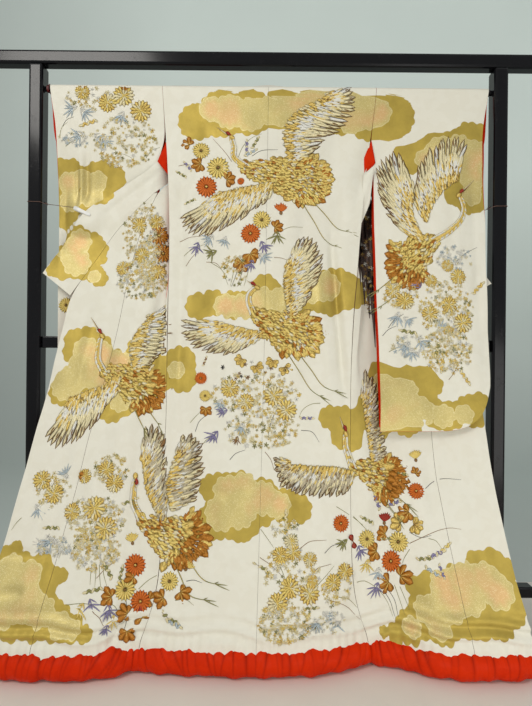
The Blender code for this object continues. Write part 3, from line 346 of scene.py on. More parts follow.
def lacquerMaterial():
    material, tree, shader, place = newMaterial("lacquer", Coat_Weight=0.12, Coat_Roughness=0.10,
                                                Specular_IOR_Level=0.16)
    drawnOut = {"Vector": place["Object"], "Scale": (14.0, 14.0, 3.0)}
    brushed = addNode(tree, "ShaderNodeMapping", drawnOut).outputs[0]
    flow = noiseOf(tree, brushed, 2.0, 3.0)
    dust = rangeOf(tree, noiseOf(tree, place["Object"], 46.0, 4.0, 0.7), 0.58, 0.80)
    scuffs = rangeOf(tree, noiseOf(tree, brushed, 30.0, 5.0, 0.8), 0.62, 0.74)
    colour = mixOf(tree, flow, (0.0030, 0.0030, 0.0040), (0.0065, 0.0065, 0.0080))
    colour = mixOf(tree, timesOf(tree, dust, 0.15), colour, (0.030, 0.028, 0.027))
    tree.links.new(colour, shader.inputs["Base Color"])
    rough = addOf(tree, rangeOf(tree, dust, 0.0, 1.0, (0.16, 0.34)), timesOf(tree, scuffs, 0.12))
    tree.links.new(rough, shader.inputs["Roughness"])
    linkBump(tree, shader, addOf(tree, flow, timesOf(tree, scuffs, 0.15)), 0.05, 0.0008)
    return material


threadLooks = {
    # light and deep colour of each embroidery thread, with metal and roughness
    "gold": ((0.95, 0.72, 0.22), (0.74, 0.47, 0.10), 0.30, 0.34),
    "paleGold": ((0.99, 0.92, 0.60), (0.84, 0.70, 0.38), 0.20, 0.40),
    "silver": ((0.95, 0.94, 0.87), (0.78, 0.76, 0.67), 0.12, 0.45),
    "taupe": ((0.68, 0.60, 0.42), (0.48, 0.41, 0.27), 0.22, 0.42),
    "bronze": ((0.36, 0.200, 0.070), (0.22, 0.105, 0.030), 0.25, 0.42),
    "umber": ((0.150, 0.100, 0.082), (0.080, 0.048, 0.040), 0.10, 0.50),
    "rust": ((0.62, 0.255, 0.022), (0.42, 0.150, 0.010), 0.22, 0.40),
    "orange": ((0.80, 0.20, 0.012), (0.64, 0.11, 0.006), 0.05, 0.50),
    "crimson": ((0.46, 0.035, 0.012), (0.30, 0.018, 0.006), 0.05, 0.48),
    "yellow": ((1.0, 0.82, 0.28), (0.86, 0.60, 0.13), 0.24, 0.36),
    "leafGreen": ((0.40, 0.38, 0.14), (0.22, 0.21, 0.06), 0.15, 0.48),
    "violet": ((0.34, 0.31, 0.50), (0.21, 0.18, 0.36), 0.05, 0.48),
    "paleBlue": ((0.62, 0.70, 0.73), (0.44, 0.53, 0.58), 0.15, 0.45),
    "ink": ((0.07, 0.06, 0.05), (0.025, 0.022, 0.02), 0.10, 0.5),
}


def threadMaterial(name):
    light, deep, metal, rough = threadLooks[name]
    material, tree, shader, place = newMaterial(name, Metallic=metal, Specular_IOR_Level=0.5)
    thread = useGroup(tree, "thread", UV=place["UV"], Lines=24.0, Spread=1.6)
    glint = useGroup(tree, "glint", Vector=place["Object"], Specks=520.0, Share=0.25)
    colour = mixOf(tree, rangeOf(tree, thread["Shade"], 0.15, 0.85), deep, light)
    # painted glints: a brighter copy of the thread's colour, laid in specks
    glintColour = tuple(min(1.0, c * 1.35 + 0.06) for c in light)
    colour = mixOf(tree, timesOf(tree, glint["Mask"], 0.6), colour, glintColour)
    tree.links.new(colour, shader.inputs["Base Color"])
    gloss = rangeOf(tree, glint["Shade"], 0.0, 1.0, (rough - 0.08, rough + 0.10))
    tree.links.new(gloss, shader.inputs["Roughness"])
    linkBump(tree, shader, thread["Height"], 0.5, 0.0006)
    return material


def plainMaterial(name, light, deep, rough, scale, bump=0.1, **plain):
    # a moulded, turned or spun piece: gentle mottling and a fine grain
    material, tree, shader, place = newMaterial(name, **plain)
    grain = noiseOf(tree, place["Object"], scale, 4.0, 0.65)
    tree.links.new(mixOf(tree, rangeOf(tree, grain, 0.3, 0.7), deep, light), shader.inputs["Base Color"])
    tree.links.new(rangeOf(tree, grain, 0.2, 0.8, (rough - 0.08, rough + 0.10)), shader.inputs["Roughness"])
    linkBump(tree, shader, grain, bump, 0.0005)
    return material


def wallMaterial():
    # the paper sweep glows a little as painted light, and painted shade makes it duller towards the floor and
    # the left
    material, tree, shader, place = newMaterial("wall", Roughness=0.85, Specular_IOR_Level=0.2,
                                                Emission_Strength=room["glow"])
    at = addNode(tree, "ShaderNodeSeparateXYZ", {0: place["Object"]}).outputs
    # painted shade: the colour grows darker towards the left and towards the floor
    aside = rangeOf(tree, at["X"], -2.7, -0.9, (0.74, 1.0))
    light = timesOf(tree, aside, rangeOf(tree, at["Z"], 0.0, 2.6, (0.55, 1.0)))
    mottle = rangeOf(tree, noiseOf(tree, place["Object"], 2.0, 2.0), 0.2, 0.8, (0.97, 1.0))
    light = timesOf(tree, light, mottle)
    colour = mixOf(tree, light, (0.0, 0.0, 0.0), room["wall"])
    tree.links.new(colour, shader.inputs["Base Color"])
    # painted light: the same colour is fed to the glow
    tree.links.new(colour, shader.inputs["Emission Color"])
    return material


materials = {name: silkMaterial(name) for name in clothLooks}
materials.update({name: threadMaterial(name) for name in threadLooks})
materials["lacquer"] = lacquerMaterial()
materials["cap"] = plainMaterial("capLacquer", (0.15, 0.014, 0.012), (0.06, 0.006, 0.006), 0.25, 60.0,
                                 Coat_Weight=0.6, Coat_Roughness=0.12)
materials["clip"] = plainMaterial("clipWhite", (0.86, 0.86, 0.83), (0.74, 0.74, 0.71), 0.42, 90.0)
materials["steel"] = plainMaterial("springSteel", (0.62, 0.61, 0.58), (0.42, 0.41, 0.39), 0.30, 240.0,
                                   Metallic=1.0)
materials["cord"] = plainMaterial("cordCopper", (0.17, 0.075, 0.045), (0.07, 0.028, 0.018), 0.55, 900.0, 0.4,
                                  Sheen_Weight=0.3)
# the rim between pieces: dark brown for the seam line, partly painted shade for the seam's gap
materials["seam"] = plainMaterial("seam", (0.27, 0.16, 0.09), (0.19, 0.11, 0.06), 0.6, 60.0, 0.05)
materials["floor"] = plainMaterial("floor", room["floor"], shaded(room["floor"], 0.94), 0.62, 3.0, 0.02)
materials["wall"] = wallMaterial()
print("materials:", len(materials))


# mesh tools

def newObject(name, mesh, *slots):
    for slot in slots:
        mesh.materials.append(materials[slot])
    made = bpy.data.objects.new(name, mesh)
    bpy.context.scene.collection.objects.link(made)
    return made


def meshFrom(name, points, faces, uvs=None, smooth=True):
    mesh = bpy.data.meshes.new(name)
    mesh.from_pydata([tuple(p) for p in points], [], faces)
    if uvs is not None:
        layer = mesh.uv_layers.new(name="UVMap")
        for loop in mesh.loops:
            layer.data[loop.index].uv = uvs[loop.vertex_index]
    if smooth:
        mesh.shade_smooth()
    mesh.update()
    return mesh


def pointsOf(mesh):
    flat = np.empty(len(mesh.vertices) * 3)
    mesh.vertices.foreach_get("co", flat)
    return flat.reshape(-1, 3)


def setPoints(mesh, points):
    mesh.vertices.foreach_set("co", points.ravel())
    mesh.update()


def applied(thing):
    # the object's modifiers made into its mesh
    bpy.context.view_layer.update()
    graph = bpy.context.evaluated_depsgraph_get()
    mesh = bpy.data.meshes.new_from_object(thing.evaluated_get(graph))
    thing.modifiers.clear()
    old = thing.data
    thing.data = mesh
    mesh.name = thing.name
    bpy.data.meshes.remove(old)
    return thing


def facedOut(thing):
    work = bmesh.new()
    work.from_mesh(thing.data)
    bmesh.ops.recalc_face_normals(work, faces=work.faces)
    work.to_mesh(thing.data)
    work.free()
    return thing


def tubeFaces(start, rings, around):
    # quads between rings of points, with both ends closed
    faces = []
    for ring in range(rings - 1):
        here, there = start + ring * around, start + (ring + 1) * around
        for k in range(around):
            after = (k + 1) % around
            faces.append((here + k, here + after, there + after, there + k))
    faces.append(tuple(start + k for k in range(around))[::-1])
    faces.append(tuple(start + (rings - 1) * around + k for k in range(around)))
    return faces


def store(mesh, label, values, kind="FLOAT", key="value"):
    mesh.attributes.new(label, kind, "POINT").data.foreach_set(key, values)


def raised(word):
    return word[0].upper() + word[1:]


def metres(value):
    # the tables of motifs are in whole millimetres
    return tuple(map(metres, value)) if isinstance(value, tuple) else value / 1000


# cloth

creases = [
    # soft folds in the hanging silk: from and to as (x, z), depth towards the inside, half width
    ((-0.262, 1.40), (-0.262, 0.62), 0.0035, 0.016), ((0.198, 1.22), (0.232, 0.70), 0.0095, 0.013),
    ((0.150, 1.16), (0.190, 0.72), -0.0025, 0.016), ((-0.569, 1.46), (-0.574, 1.28), 0.0064, 0.009),
    ((-0.588, 1.46), (-0.588, 1.30), -0.0030, 0.008), ((-0.603, 1.43), (-0.600, 1.28), 0.0032, 0.007),
    ((-0.700, 0.293), (-0.545, 0.288), 0.0042, 0.006), ((-0.695, 0.206), (-0.632, 0.203), 0.0042, 0.006),
    ((-0.250, 0.452), (0.250, 0.446), 0.0016, 0.006), ((-0.300, 0.255), (0.060, 0.262), 0.0014, 0.006),
    ((0.050, 0.160), (0.260, 0.165), 0.0014, 0.006), ((-0.245, 0.168), (-0.060, 0.160), 0.0014, 0.006),
    ((0.33, 0.50), (0.60, 0.46), 0.0012, 0.008), ((-0.03, 1.30), (0.02, 0.30), -0.0012, 0.030),
    ((0.100, 1.30), (0.115, 0.90), 0.0018, 0.020), ((-0.130, 0.86), (-0.140, 0.30), 0.0020, 0.022),
    ((0.060, 0.72), (0.075, 0.20), 0.0022, 0.024), ((-0.200, 0.62), (-0.215, 0.12), 0.0026, 0.016),
    ((-0.440, 0.66), (-0.470, 0.13), 0.0035, 0.022), ((-0.560, 0.62), (-0.610, 0.13), 0.0030, 0.020),
    ((-0.360, 0.58), (-0.372, 0.12), 0.0028, 0.016), ((0.365, 0.56), (0.380, 0.13), 0.0034, 0.018),
    ((0.470, 0.58), (0.500, 0.12), 0.0030, 0.022), ((0.585, 0.60), (0.625, 0.13), 0.0028, 0.018),
    ((0.420, 1.02), (0.418, 0.66), 0.0020, 0.024), ((0.560, 1.40), (0.575, 0.70), 0.0022, 0.026),
    ((0.375, 1.45), (0.372, 1.05), 0.0022, 0.014), ((0.640, 1.42), (0.655, 0.85), 0.0018, 0.014),
    ((0.430, 0.800), (0.640, 0.795), 0.0012, 0.006), ((-0.440, 1.62), (-0.450, 1.44), 0.0020, 0.016),
    ((-0.640, 1.36), (-0.640, 1.10), 0.0022, 0.010), ((-0.520, 1.258), (-0.345, 1.397), 0.0026, 0.010),
    ((-0.500, 1.222), (-0.330, 1.352), -0.0022, 0.012), ((-0.36, 1.33), (-0.40, 1.10), 0.0022, 0.016),
    ((-0.33, 0.98), (-0.335, 0.70), 0.0022, 0.012), ((-0.52, 0.98), (-0.56, 0.72), 0.0020, 0.016),
    ((-0.230, 1.64), (-0.150, 1.40), 0.0014, 0.020), ((0.240, 1.64), (0.160, 1.36), 0.0014, 0.020),
    ((-0.318, 1.50), (-0.260, 1.30), 0.0020, 0.014), ((0.322, 1.50), (0.270, 1.28), 0.0020, 0.014),
]
foldDepth = 1.7
swayLooks = {"waves": 26, "shortest": 0.05, "growth": 1.13, "high": 0.0066, "fullFrom": 0.12, "turn": 0.45,
             "wildTurn": 1.4}
heldStill = {"rod": (1.480, 1.640), "hem": (0.085, 0.185), "clip": ((-0.565, 1.268), 0.05)}
puckers = {"edge": 0.074, "gather": 0.0015, "wave": 0.0066, "high": 0.058, "step": 0.026, "waveStep": 0.034,
           "sunk": 0.010}


def makeSway():
    # gentle waves from short to long, mostly upright ones
    waves = []
    for k in range(swayLooks["waves"]):
        reach = swayLooks["shortest"] * swayLooks["growth"] ** k
        most = swayLooks["turn"] if k % 3 else swayLooks["wildTurn"]
        turn = random.uniform(-most, most)
        across, up = fullTurn / reach * math.cos(turn), fullTurn / reach * math.sin(turn)
        phase = random.uniform(0, fullTurn)
        high = swayLooks["high"] * reach ** 0.8 * random.uniform(0.6, 1.0)
        waves.append((across, up, phase, high * min(1.0, reach / swayLooks["fullFrom"])))
    return waves


sway = makeSway()


def fade(values, low, high):
    share = np.clip((values - low) / (high - low), 0.0, 1.0)
    return share * share * (3 - 2 * share)


def clothShift(x, z):
    # how far the silk lies forward of the plain surface, everywhere alike so that seams stay shut
    shift = np.zeros_like(x)
    for across, up, phase, high in sway:
        shift += high * np.sin(across * x + up * z + phase)
    for (x0, z0), (x1, z1), depth, width in creases:
        along = np.array((x1 - x0, z1 - z0))
        length = np.hypot(*along)
        share = ((x - x0) * along[0] + (z - z0) * along[1]) / length ** 2
        off = ((x - x0) * along[1] - (z - z0) * along[0]) / length
        ends = fade(share, -0.12, 0.22) * fade(-share, -1.12, -0.78)
        shift -= foldDepth * depth * ends * np.exp(-(off / width) ** 2)
    (cx, cz), clear = heldStill["clip"]
    free = fade(np.hypot(x - cx, z - cz), clear * 0.6, clear * 1.6)
    (low, lowFree), (highFree, high) = heldStill["hem"], heldStill["rod"]
    shift *= fade(z, low, lowFree) * fade(-z, -high, -highFree) * free
    # the silk is drawn up where it is sewn to the padded hem
    up = (z - puckers["edge"]) / puckers["high"]
    near = np.exp(-np.clip(up, 0, None) ** 2) * fade(z, puckers["edge"] - 0.010, puckers["edge"] + 0.004)
    drift = 0.6 * np.sin(x * 23 + 0.7) + 0.8 * np.sin(x * 9.1 + 2.0)
    gathers = np.sin(x * fullTurn / puckers["step"] + 1.7 * np.sin(x * 31) + drift)
    shift += puckers["gather"] * near ** 2 * gathers
    band = np.exp(-((up - 0.75) / 0.6) ** 2) * fade(z, puckers["edge"], puckers["edge"] + 0.02)
    bends = 1.9 * np.sin(x * 11 + 0.4) + 1.2 * np.sin(x * 27 + 1.0)
    shift += puckers["wave"] * band * np.sin(z * fullTurn / puckers["waveStep"] + bends)
    return shift


clothFaces = {"sharpest": math.radians(62), "leastWall": 0.03, "thin": 0.0035, "thinPasses": 2, "levels": 3,
              "flatJoin": math.radians(40), "shapeJoin": math.radians(50), "rimMark": 1000}
parting = {"above": 1.66, "reach": 0.0009, "gap": 0.0010}


def alongParting(mesh):
    return [v for v in mesh.verts
            if abs(v.co.y - rodPlane) < parting["reach"] and v.co.z > parting["above"]]


def joinedCopy(names):
    # a wall of cloth from its CAD nodes, with the parting on top of the rod closed
    mesh = bmesh.new()
    part = mesh.faces.layers.int.new("part")
    for number, name in enumerate(names):
        mesh.from_mesh(nodes[name].data)
        for face in list(mesh.faces)[-len(nodes[name].data.polygons):]:
            face[part] = number
    bmesh.ops.remove_doubles(mesh, verts=mesh.verts, dist=2e-5)
    if len(names) > 1:
        onTop = set(alongParting(mesh))
        ends = [f for f in mesh.faces if all(v in onTop for v in f.verts)]
        bmesh.ops.delete(mesh, geom=ends, context="FACES_ONLY")
        loose = [e for e in mesh.edges if not e.link_faces]
        bmesh.ops.delete(mesh, geom=loose, context="EDGES")
        bmesh.ops.remove_doubles(mesh, verts=alongParting(mesh), dist=parting["gap"])
    return mesh


def sideFaces(seedFace):
    # every face that a walk over gentle edges reaches
    found, waiting = {seedFace}, [seedFace]
    while waiting:
        for edge in waiting.pop().edges:
            if len(edge.link_faces) != 2 or edge.calc_face_angle(0.0) > clothFaces["sharpest"]:
                continue
            for face in edge.link_faces:
                if face not in found:
                    found.add(face)
                    waiting.append(face)
    return found


def cloudDepth(x, z, lobes):
    # how deep inside the scalloped lobes each place is
    depth = np.full_like(x, -0.1)
    for across, up, radius in lobes:
        count = max(5, round(2 * math.pi * radius / cloudLooks["scallop"]))
        turn = np.arctan2(z - up, x - across) * count / 2 + across * 40
        if count % 2:
            turn = np.arctan2(z - up, x - across) * (count + 1) / 2 + across * 40
        ripple = cloudLooks["ripple"] * min(1.0, radius / 0.042) * (np.abs(np.sin(turn)) - 0.6)
        depth = np.maximum(depth, radius + ripple - np.hypot(x - across, z - up))
    return depth


def paintClouds(mesh, points):
    for label, lobes in (("cloudDepth", "base"), ("paleDepth", "light")):
        depth = cloudDepth(points[:, 0], points[:, 2], metres(cloudLooks[lobes]))
        store(mesh, label, depth.astype(np.float32))


def sortFaces(mesh, seeds):
    # the right side is walked from its seeds, any other large wall is the wrong side, and the rest is rim
    tree = BVHTree.FromBMesh(mesh)
    mesh.faces.ensure_lookup_table()
    right, wrong = set(), set()
    for x, z in seeds:
        index = tree.ray_cast(Vector((x, -2, z)), Vector((0, 1, 0)))[2]
        right |= sideFaces(mesh.faces[index])
    rest = {f for f in mesh.faces if f not in right}
    while rest:
        found = sideFaces(next(iter(rest)))
        if sum(f.calc_area() for f in found) > clothFaces["leastWall"]:
            wrong |= found
        rest -= found
    for face in mesh.faces:  # a stray thin face takes the side that lies round it
        roundIt = [other for edge in face.edges for other in edge.link_faces if other is not face]
        for side in (right, wrong):
            if face not in right and face not in wrong and sum(other in side for other in roundIt) > 1:
                side.add(face)
    beside = right
    for _ in range(clothFaces["thinPasses"]):  # the wall's own thin edge isn't its wrong side
        thin = {face for face in wrong
                if 2 * face.calc_area() < clothFaces["thin"] * max(e.calc_length() for e in face.edges)}
        beside = {face for face in thin
                  if any(other in beside for edge in face.edges for other in edge.link_faces)}
        wrong -= beside
    for face in mesh.faces:
        face.material_index = 0 if face in right else 1 if face in wrong else 2
        face.smooth = True


def creaseEdges(mesh):
    creased = mesh.edges.layers.float.new("crease_edge")
    for edge in mesh.edges:
        bothSides = len({f.material_index for f in edge.link_faces}) > 1
        if bothSides or edge.calc_face_angle(0.0) > clothFaces["sharpest"]:
            edge[creased] = 1.0
            edge.smooth = False


def drawnIn(mesh, tucks):
    # how far each point goes along its normal, away from what lies on the cloth
    rimMark = clothFaces["rimMark"]
    sides = np.zeros(len(mesh.vertices))
    for face in mesh.polygons:
        sides[list(face.vertices)] += (-1, 1, rimMark)[face.material_index]
    onRim = sides > rimMark / 2
    beside = sides % rimMark
    seam = onRim & (beside > 0) & (beside < rimMark / 2)  # where the rim meets the wrong side
    wall = np.where(sides > 0, tucks["wrong"], -tucks["right"])
    return np.where(seam, tucks["seam"], np.where(onRim, 0.0, wall))


def clothPiece(name, names, seeds, inside, rim, cloth, tucks):
    mesh = joinedCopy(names)
    sortFaces(mesh, seeds)
    creaseEdges(mesh)
    bmesh.ops.join_triangles(mesh, faces=mesh.faces, cmp_sharp=True,
                             angle_face_threshold=clothFaces["flatJoin"],
                             angle_shape_threshold=clothFaces["shapeJoin"])
    data = bpy.data.meshes.new(name)
    mesh.to_mesh(data)
    mesh.free()
    made = newObject(name, data, cloth, inside, rim)
    smooth = made.modifiers.new("smooth", "SUBSURF")
    smooth.levels = smooth.render_levels = clothFaces["levels"]
    applied(made)
    points = pointsOf(made.data)
    if cloth == "silk":
        paintClouds(made.data, points)
    points[:, 1] -= clothShift(points[:, 0], points[:, 2])
    points[:, 2] -= puckers["sunk"] * fade(-points[:, 2], -puckers["edge"] - 0.016, -puckers["edge"])
    normals = np.array([v.normal for v in made.data.vertices])
    points += normals * drawnIn(made.data, tucks)[:, None]
    setPoints(made.data, points)
    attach(made, "root")
    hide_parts(*names)
    return made


cuts = {
    # each piece: its nodes, places (x, z) on its right side, its wrong side and rim, and its flat cut
    "bodyLeft": (("back_left", "front_left"), ((-0.15, 0.8), (-0.45, 0.4)), "redSilk", "seam", (0.36, 3.28)),
    "bodyRight": (("back_right", "front_right"), ((0.15, 0.8), (0.42, 0.4)), "redSilk", "seam", (0.36, 3.28)),
    "okumiLeft": (("okumi_left",), ((-0.60, 0.4),), "redSilk", "seam", (0.155, 1.30)),
    "okumiRight": (("okumi_right",), ((0.60, 0.4),), "redSilk", "seam", (0.155, 1.30)),
    "sleeveLeft": (("sleeve_left",), ((-0.50, 1.5),), "redSilk", "redSilk", (0.345, 2.14)),
    "sleeveRight": (("sleeve_right",), ((0.50, 1.3),), "redSilk", "redSilk", (0.345, 2.12)),
    "collarBand": (("collar",), ((-0.58, 1.20),), "silk", "silk", (0.112, 1.80)),
    "sleeveLiningLeft": (("sleeve_lining_left",), ((-0.50, 1.2),), "redSilk", "redSilk", (0.345, 2.10)),
    "sleeveLiningRight": (("sleeve_lining_right",), ((0.50, 1.2),), "redSilk", "redSilk", (0.345, 2.10)),
}
tucks = {"silk": {"right": 0.0, "wrong": 0.0012, "seam": 0.0008},
         "lining": {"right": 0.0016, "wrong": 0.0016, "seam": 0.0}}
slivers = (
    # cloth that shows in the gaps below the armholes: the piece it belongs to and its corners
    ("sleeveLiningLeft", ((-0.319, 0.066, 1.502), (-0.345, 0.0583, 1.436), (-0.305, 0.066, 1.386),
                          (-0.301, 0.066, 1.443))),
    ("sleeveLiningRight", ((0.327, 0.08, 1.517), (0.304, 0.08, 1.460), (0.306, 0.08, 1.391),
                           (0.340, 0.08, 1.445))),
    ("bodyRight", ((0.301, 0.0675, 1.404), (0.292, 0.063, 1.241), (0.321, 0.068, 1.311),
                   (0.335, 0.0675, 1.434))),
)
sliverLooks = {"count": 12, "thick": 0.001, "wave": 0.0010}


def addSliver(thing, corners):
    mesh = bmesh.new()
    mesh.from_mesh(thing.data)
    part = mesh.faces.layers.int.get("part")
    count, wave = sliverLooks["count"], sliverLooks["wave"]
    a, b, c, d = (Vector(corner) for corner in corners)
    walls = []
    for behind in (0.0, sliverLooks["thick"]):
        rows = []
        for i in range(count + 1):
            row = []
            for k in range(count + 1):
                s, t = i / count, k / count
                place = a.lerp(d, t).lerp(b.lerp(c, t), s)
                place.y += behind + wave * math.sin(7 * s + 5 * t) - wave * math.sin(math.pi * t)
                row.append(mesh.verts.new(place))
            rows.append(row)
        walls.append(rows)
    border = ([(0, k) for k in range(count)] + [(i, count) for i in range(count)]
              + [(count, k) for k in range(count, 0, -1)] + [(i, 0) for i in range(count, 0, -1)])
    made = []
    for rows in walls:
        made += [mesh.faces.new((rows[i][k], rows[i + 1][k], rows[i + 1][k + 1], rows[i][k + 1]))
                 for i in range(count) for k in range(count)]
    for (i, k), (j, m) in zip(border, border[1:] + border[:1]):
        made.append(mesh.faces.new((walls[0][i][k], walls[0][j][m], walls[1][j][m], walls[1][i][k])))
    for face in made:
        face.smooth = True
        if part:
            face[part] = 2
    bmesh.ops.recalc_face_normals(mesh, faces=made)
    mesh.to_mesh(thing.data)
    mesh.free()


cloth = {}
for name, (names, seeds, inside, rim, flat) in cuts.items():
    lining = "Lining" in name
    cloth[name] = clothPiece(name, names, seeds, inside, rim, "redSilk" if lining else "silk",
                             tucks["lining" if lining else "silk"])
    print(name, len(cloth[name].data.polygons))
for name, corners in slivers:
    addSliver(cloth[name], corners)
for name, thing in cloth.items():
    "red_silk" if "Lining" in name else "silk"
print("cloth done")


# the padded roll of the hem

hemRoll = {
    # the roll's line as (across, forward), and the kinks as (place, half width)
    "line": ((-0.762, 0.296), (-0.70, 0.311), (-0.62, 0.319), (-0.50, 0.322), (-0.41, 0.306), (-0.33, 0.277),
             (-0.25, 0.286), (-0.12, 0.296), (-0.018, 0.298), (0.10, 0.291), (0.20, 0.268), (0.29, 0.234),
             (0.37, 0.254), (0.45, 0.291), (0.55, 0.303), (0.64, 0.302), (0.712, 0.292)),
    "kinks": ((-0.33, 0.045), (0.29, 0.050)),
    "radius": 0.0372, "inset": 0.0012, "sunk": 0.0008, "endLength": 0.030, "stations": 1300, "around": 32,
    "gather": 0.0036, "kinkGather": 0.0024, "lean": 0.150, "fan": 0.15, "billow": 0.0015, "billowStep": 0.022,
    # the two sizes of gather: step along the roll, depth, half width
    "gathers": ((0.0185, 1.0, 0.0036), (0.0080, 0.28, 0.0020)),
    # slow changes of the radius: waves per metre, phase, height
    "swells": ((61, 0.4, 0.0014), (97, 2.1, 0.0014), (163, 1.2, 0.0010), (33, 3.0, 0.0010)),
}


def hemForward(across):
    # the roll's line, through its places with no overshoot
    known, values = np.array(hemRoll["line"]).T
    across = np.clip(across, known[0], known[-1])
    widths = np.diff(known)
    slopes = np.diff(values) / widths
    tangents = np.concatenate([[slopes[0]], (slopes[1:] + slopes[:-1]) / 2, [slopes[-1]]])
    tangents[1:-1][slopes[1:] * slopes[:-1] <= 0] = 0
    i = np.clip(np.searchsorted(known, across, side="right") - 1, 0, len(widths) - 1)
    s = (across - known[i]) / widths[i]
    return ((1 + 2 * s) * (1 - s) ** 2 * values[i] + s * (1 - s) ** 2 * widths[i] * tangents[i]
            + s * s * (3 - 2 * s) * values[i + 1] + s * s * (s - 1) * widths[i] * tangents[i + 1])


def gatherMarks(start, end):
    # each gather has its own place, depth, half width and lean, and they crowd at the kinks
    marks = []
    for step, depth, wide in hemRoll["gathers"]:
        place = start
        while place < end:
            strong = max(math.exp(-((place - p) / w) ** 2) for p, w in hemRoll["kinks"])
            place += step * (1.25 - 0.75 * strong) * random.uniform(0.45, 1.6)
            deepHere = depth * random.uniform(0.35, 1.0) * (1 - 0.6 * strong * (len(marks) % 2))
            marks.append((place, deepHere, wide * random.uniform(0.7, 1.3), random.uniform(-0.3, 0.3)))
    return marks


def gatherDepths(across, turns, marks):
    # how deep each point of the skin is drawn in, with the gathers fanned out from the kinks
    depths = np.zeros((len(across), len(turns)))
    low = 1 - np.abs(((turns - 0.17 + 0.5) % 1.0) - 0.5) * 2
    down = (turns + 0.25) % 1.0 - 0.5
    for place, depth, wide, lean in marks:
        pull = sum((place - p) / w * math.exp(-((place - p) / w / 2) ** 2) for p, w in hemRoll["kinks"])
        slant = lean * hemRoll["lean"] - hemRoll["fan"] * pull
        off = across[:, None] - place - slant * down[None, :]
        depths = np.maximum(depths, depth * np.exp(-np.abs(off / wide)) * low[None, :] ** 1.2)
    return depths


def billowAlong(across, marks):
    # the padding swells between the deeper gathers
    places = np.array(sorted(mark[0] for mark in marks if mark[1] > 0.30))
    following = np.searchsorted(places, across).clip(1, len(places) - 1)
    gap = places[following] - places[following - 1]
    bow = np.abs(np.sin(np.pi * (across - places[following - 1]) / gap)) ** 0.8
    return hemRoll["billow"] * np.minimum(1.0, gap / hemRoll["billowStep"]) * bow


def makeRoll():
    facts = hemRoll
    start, end, radius = facts["line"][0][0], facts["line"][-1][0], facts["radius"]
    count, around = facts["stations"], facts["around"]
    across, turns = np.linspace(start, end, count), np.arange(around) / around
    marks = gatherMarks(start, end)
    gather = gatherDepths(across, turns, marks)
    billow = billowAlong(across, marks)
    tops = np.exp(-((((turns - 0.27 + 0.5) % 1.0) - 0.5) / 0.12) ** 2)
    kink = sum(np.exp(-((across - place) / width) ** 2) for place, width in facts["kinks"])
    swell = sum(np.sin(across * f + p) * h for f, p, h in facts["swells"])
    points, uvs = [], []
    for i, x in enumerate(across):
        inside = min(x - start, end - x)
        closing = math.sqrt(max(0.0, 1 - (1 - min(1.0, inside / facts["endLength"])) ** 2))
        forward = hemForward(x)
        slope = (hemForward(x + 0.004) - hemForward(x - 0.004)) / 0.008 * closing
        turn = math.atan(slope)
        for step in range(around):
            angle = 2 * math.pi * step / around
            deep = (facts["gather"] + facts["kinkGather"] * kink[i]) * gather[i, step]
            full = radius + swell[i] - facts["inset"] + billow[i] * tops[step]
            r = max(0.0015, (full - deep) * closing)
            reach = r * math.cos(angle)
            height = max(0.0, radius - facts["sunk"] + r * math.sin(angle))
            points.append((x - reach * math.sin(turn), rodPlane - (forward + reach * math.cos(turn)), height))
            uvs.append((x * 10, step / around))
    made = newObject("hemRoll", meshFrom("hemRoll", points, tubeFaces(0, count, around), uvs), "redSilk")
    # each point's gather depth, which the red silk shows as painted shade
    store(made.data, "pleat", gather.ravel().astype(np.float32))
    facedOut(made)
    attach(made, "root")
    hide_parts("hem_roll")
    return made


roll = makeRoll()
print("hem roll", len(roll.data.polygons))


# needlework: feathers, petals, leaves and stems that lie on the silk

surfaces = {
    # the right side of each stretch of cloth: piece, part of it
    "back": (("bodyLeft", 0), ("bodyRight", 0)),
    "frontLeft": (("bodyLeft", 1), ("okumiLeft", 0)),
    "frontRight": (("bodyRight", 1), ("okumiRight", 0)),
    "collar": (("collarBand", 0),),
    "sleeveLeft": (("sleeveLeft", 0),),
    "sleeveRight": (("sleeveRight", 0),),
}
shapes = {
    # how a small stitch is formed: rows along it, where it is widest and how blunt its ends are
    "petal": (6, 1.7, 0.55), "leaf": (6, 0.85, 0.85), "round": (7, 1.0, 0.5), "plume": (5, 0.75, 0.75),
    "fleck": (4, 1.0, 0.7),
}
casts = {}


def castOn(on):
    # one tree for the named stretches, built when it is first needed
    if on not in casts:
        points, faces = [], []
        for stretch in on.split():
            for name, part in surfaces[stretch]:
                mesh = cloth[name].data
                kept = np.empty(len(mesh.polygons), dtype=np.int32)
                mesh.attributes["part"].data.foreach_get("value", kept)
                right = np.empty(len(mesh.polygons), dtype=np.int32)
                mesh.polygons.foreach_get("material_index", right)
                start = len(points)
                points += [v.co.copy() for v in mesh.vertices]
                for index in np.nonzero((kept == part) & (right == 0))[0]:
                    faces.append([start + k for k in mesh.polygons[index].vertices])
        casts[on] = BVHTree.FromPolygons(points, faces)
    return casts[on]


def layOn(on, x, z, side=-1):
    # the place and normal where a point of the drawing meets the cloth, or nothing
    spot, normal, *_ = castOn(on).ray_cast(Vector((x, 2.0 * side, z)), Vector((0, -side, 0)))
    if spot is None:
        return None, None
    return spot, normal if normal.y * side > 0 else -normal


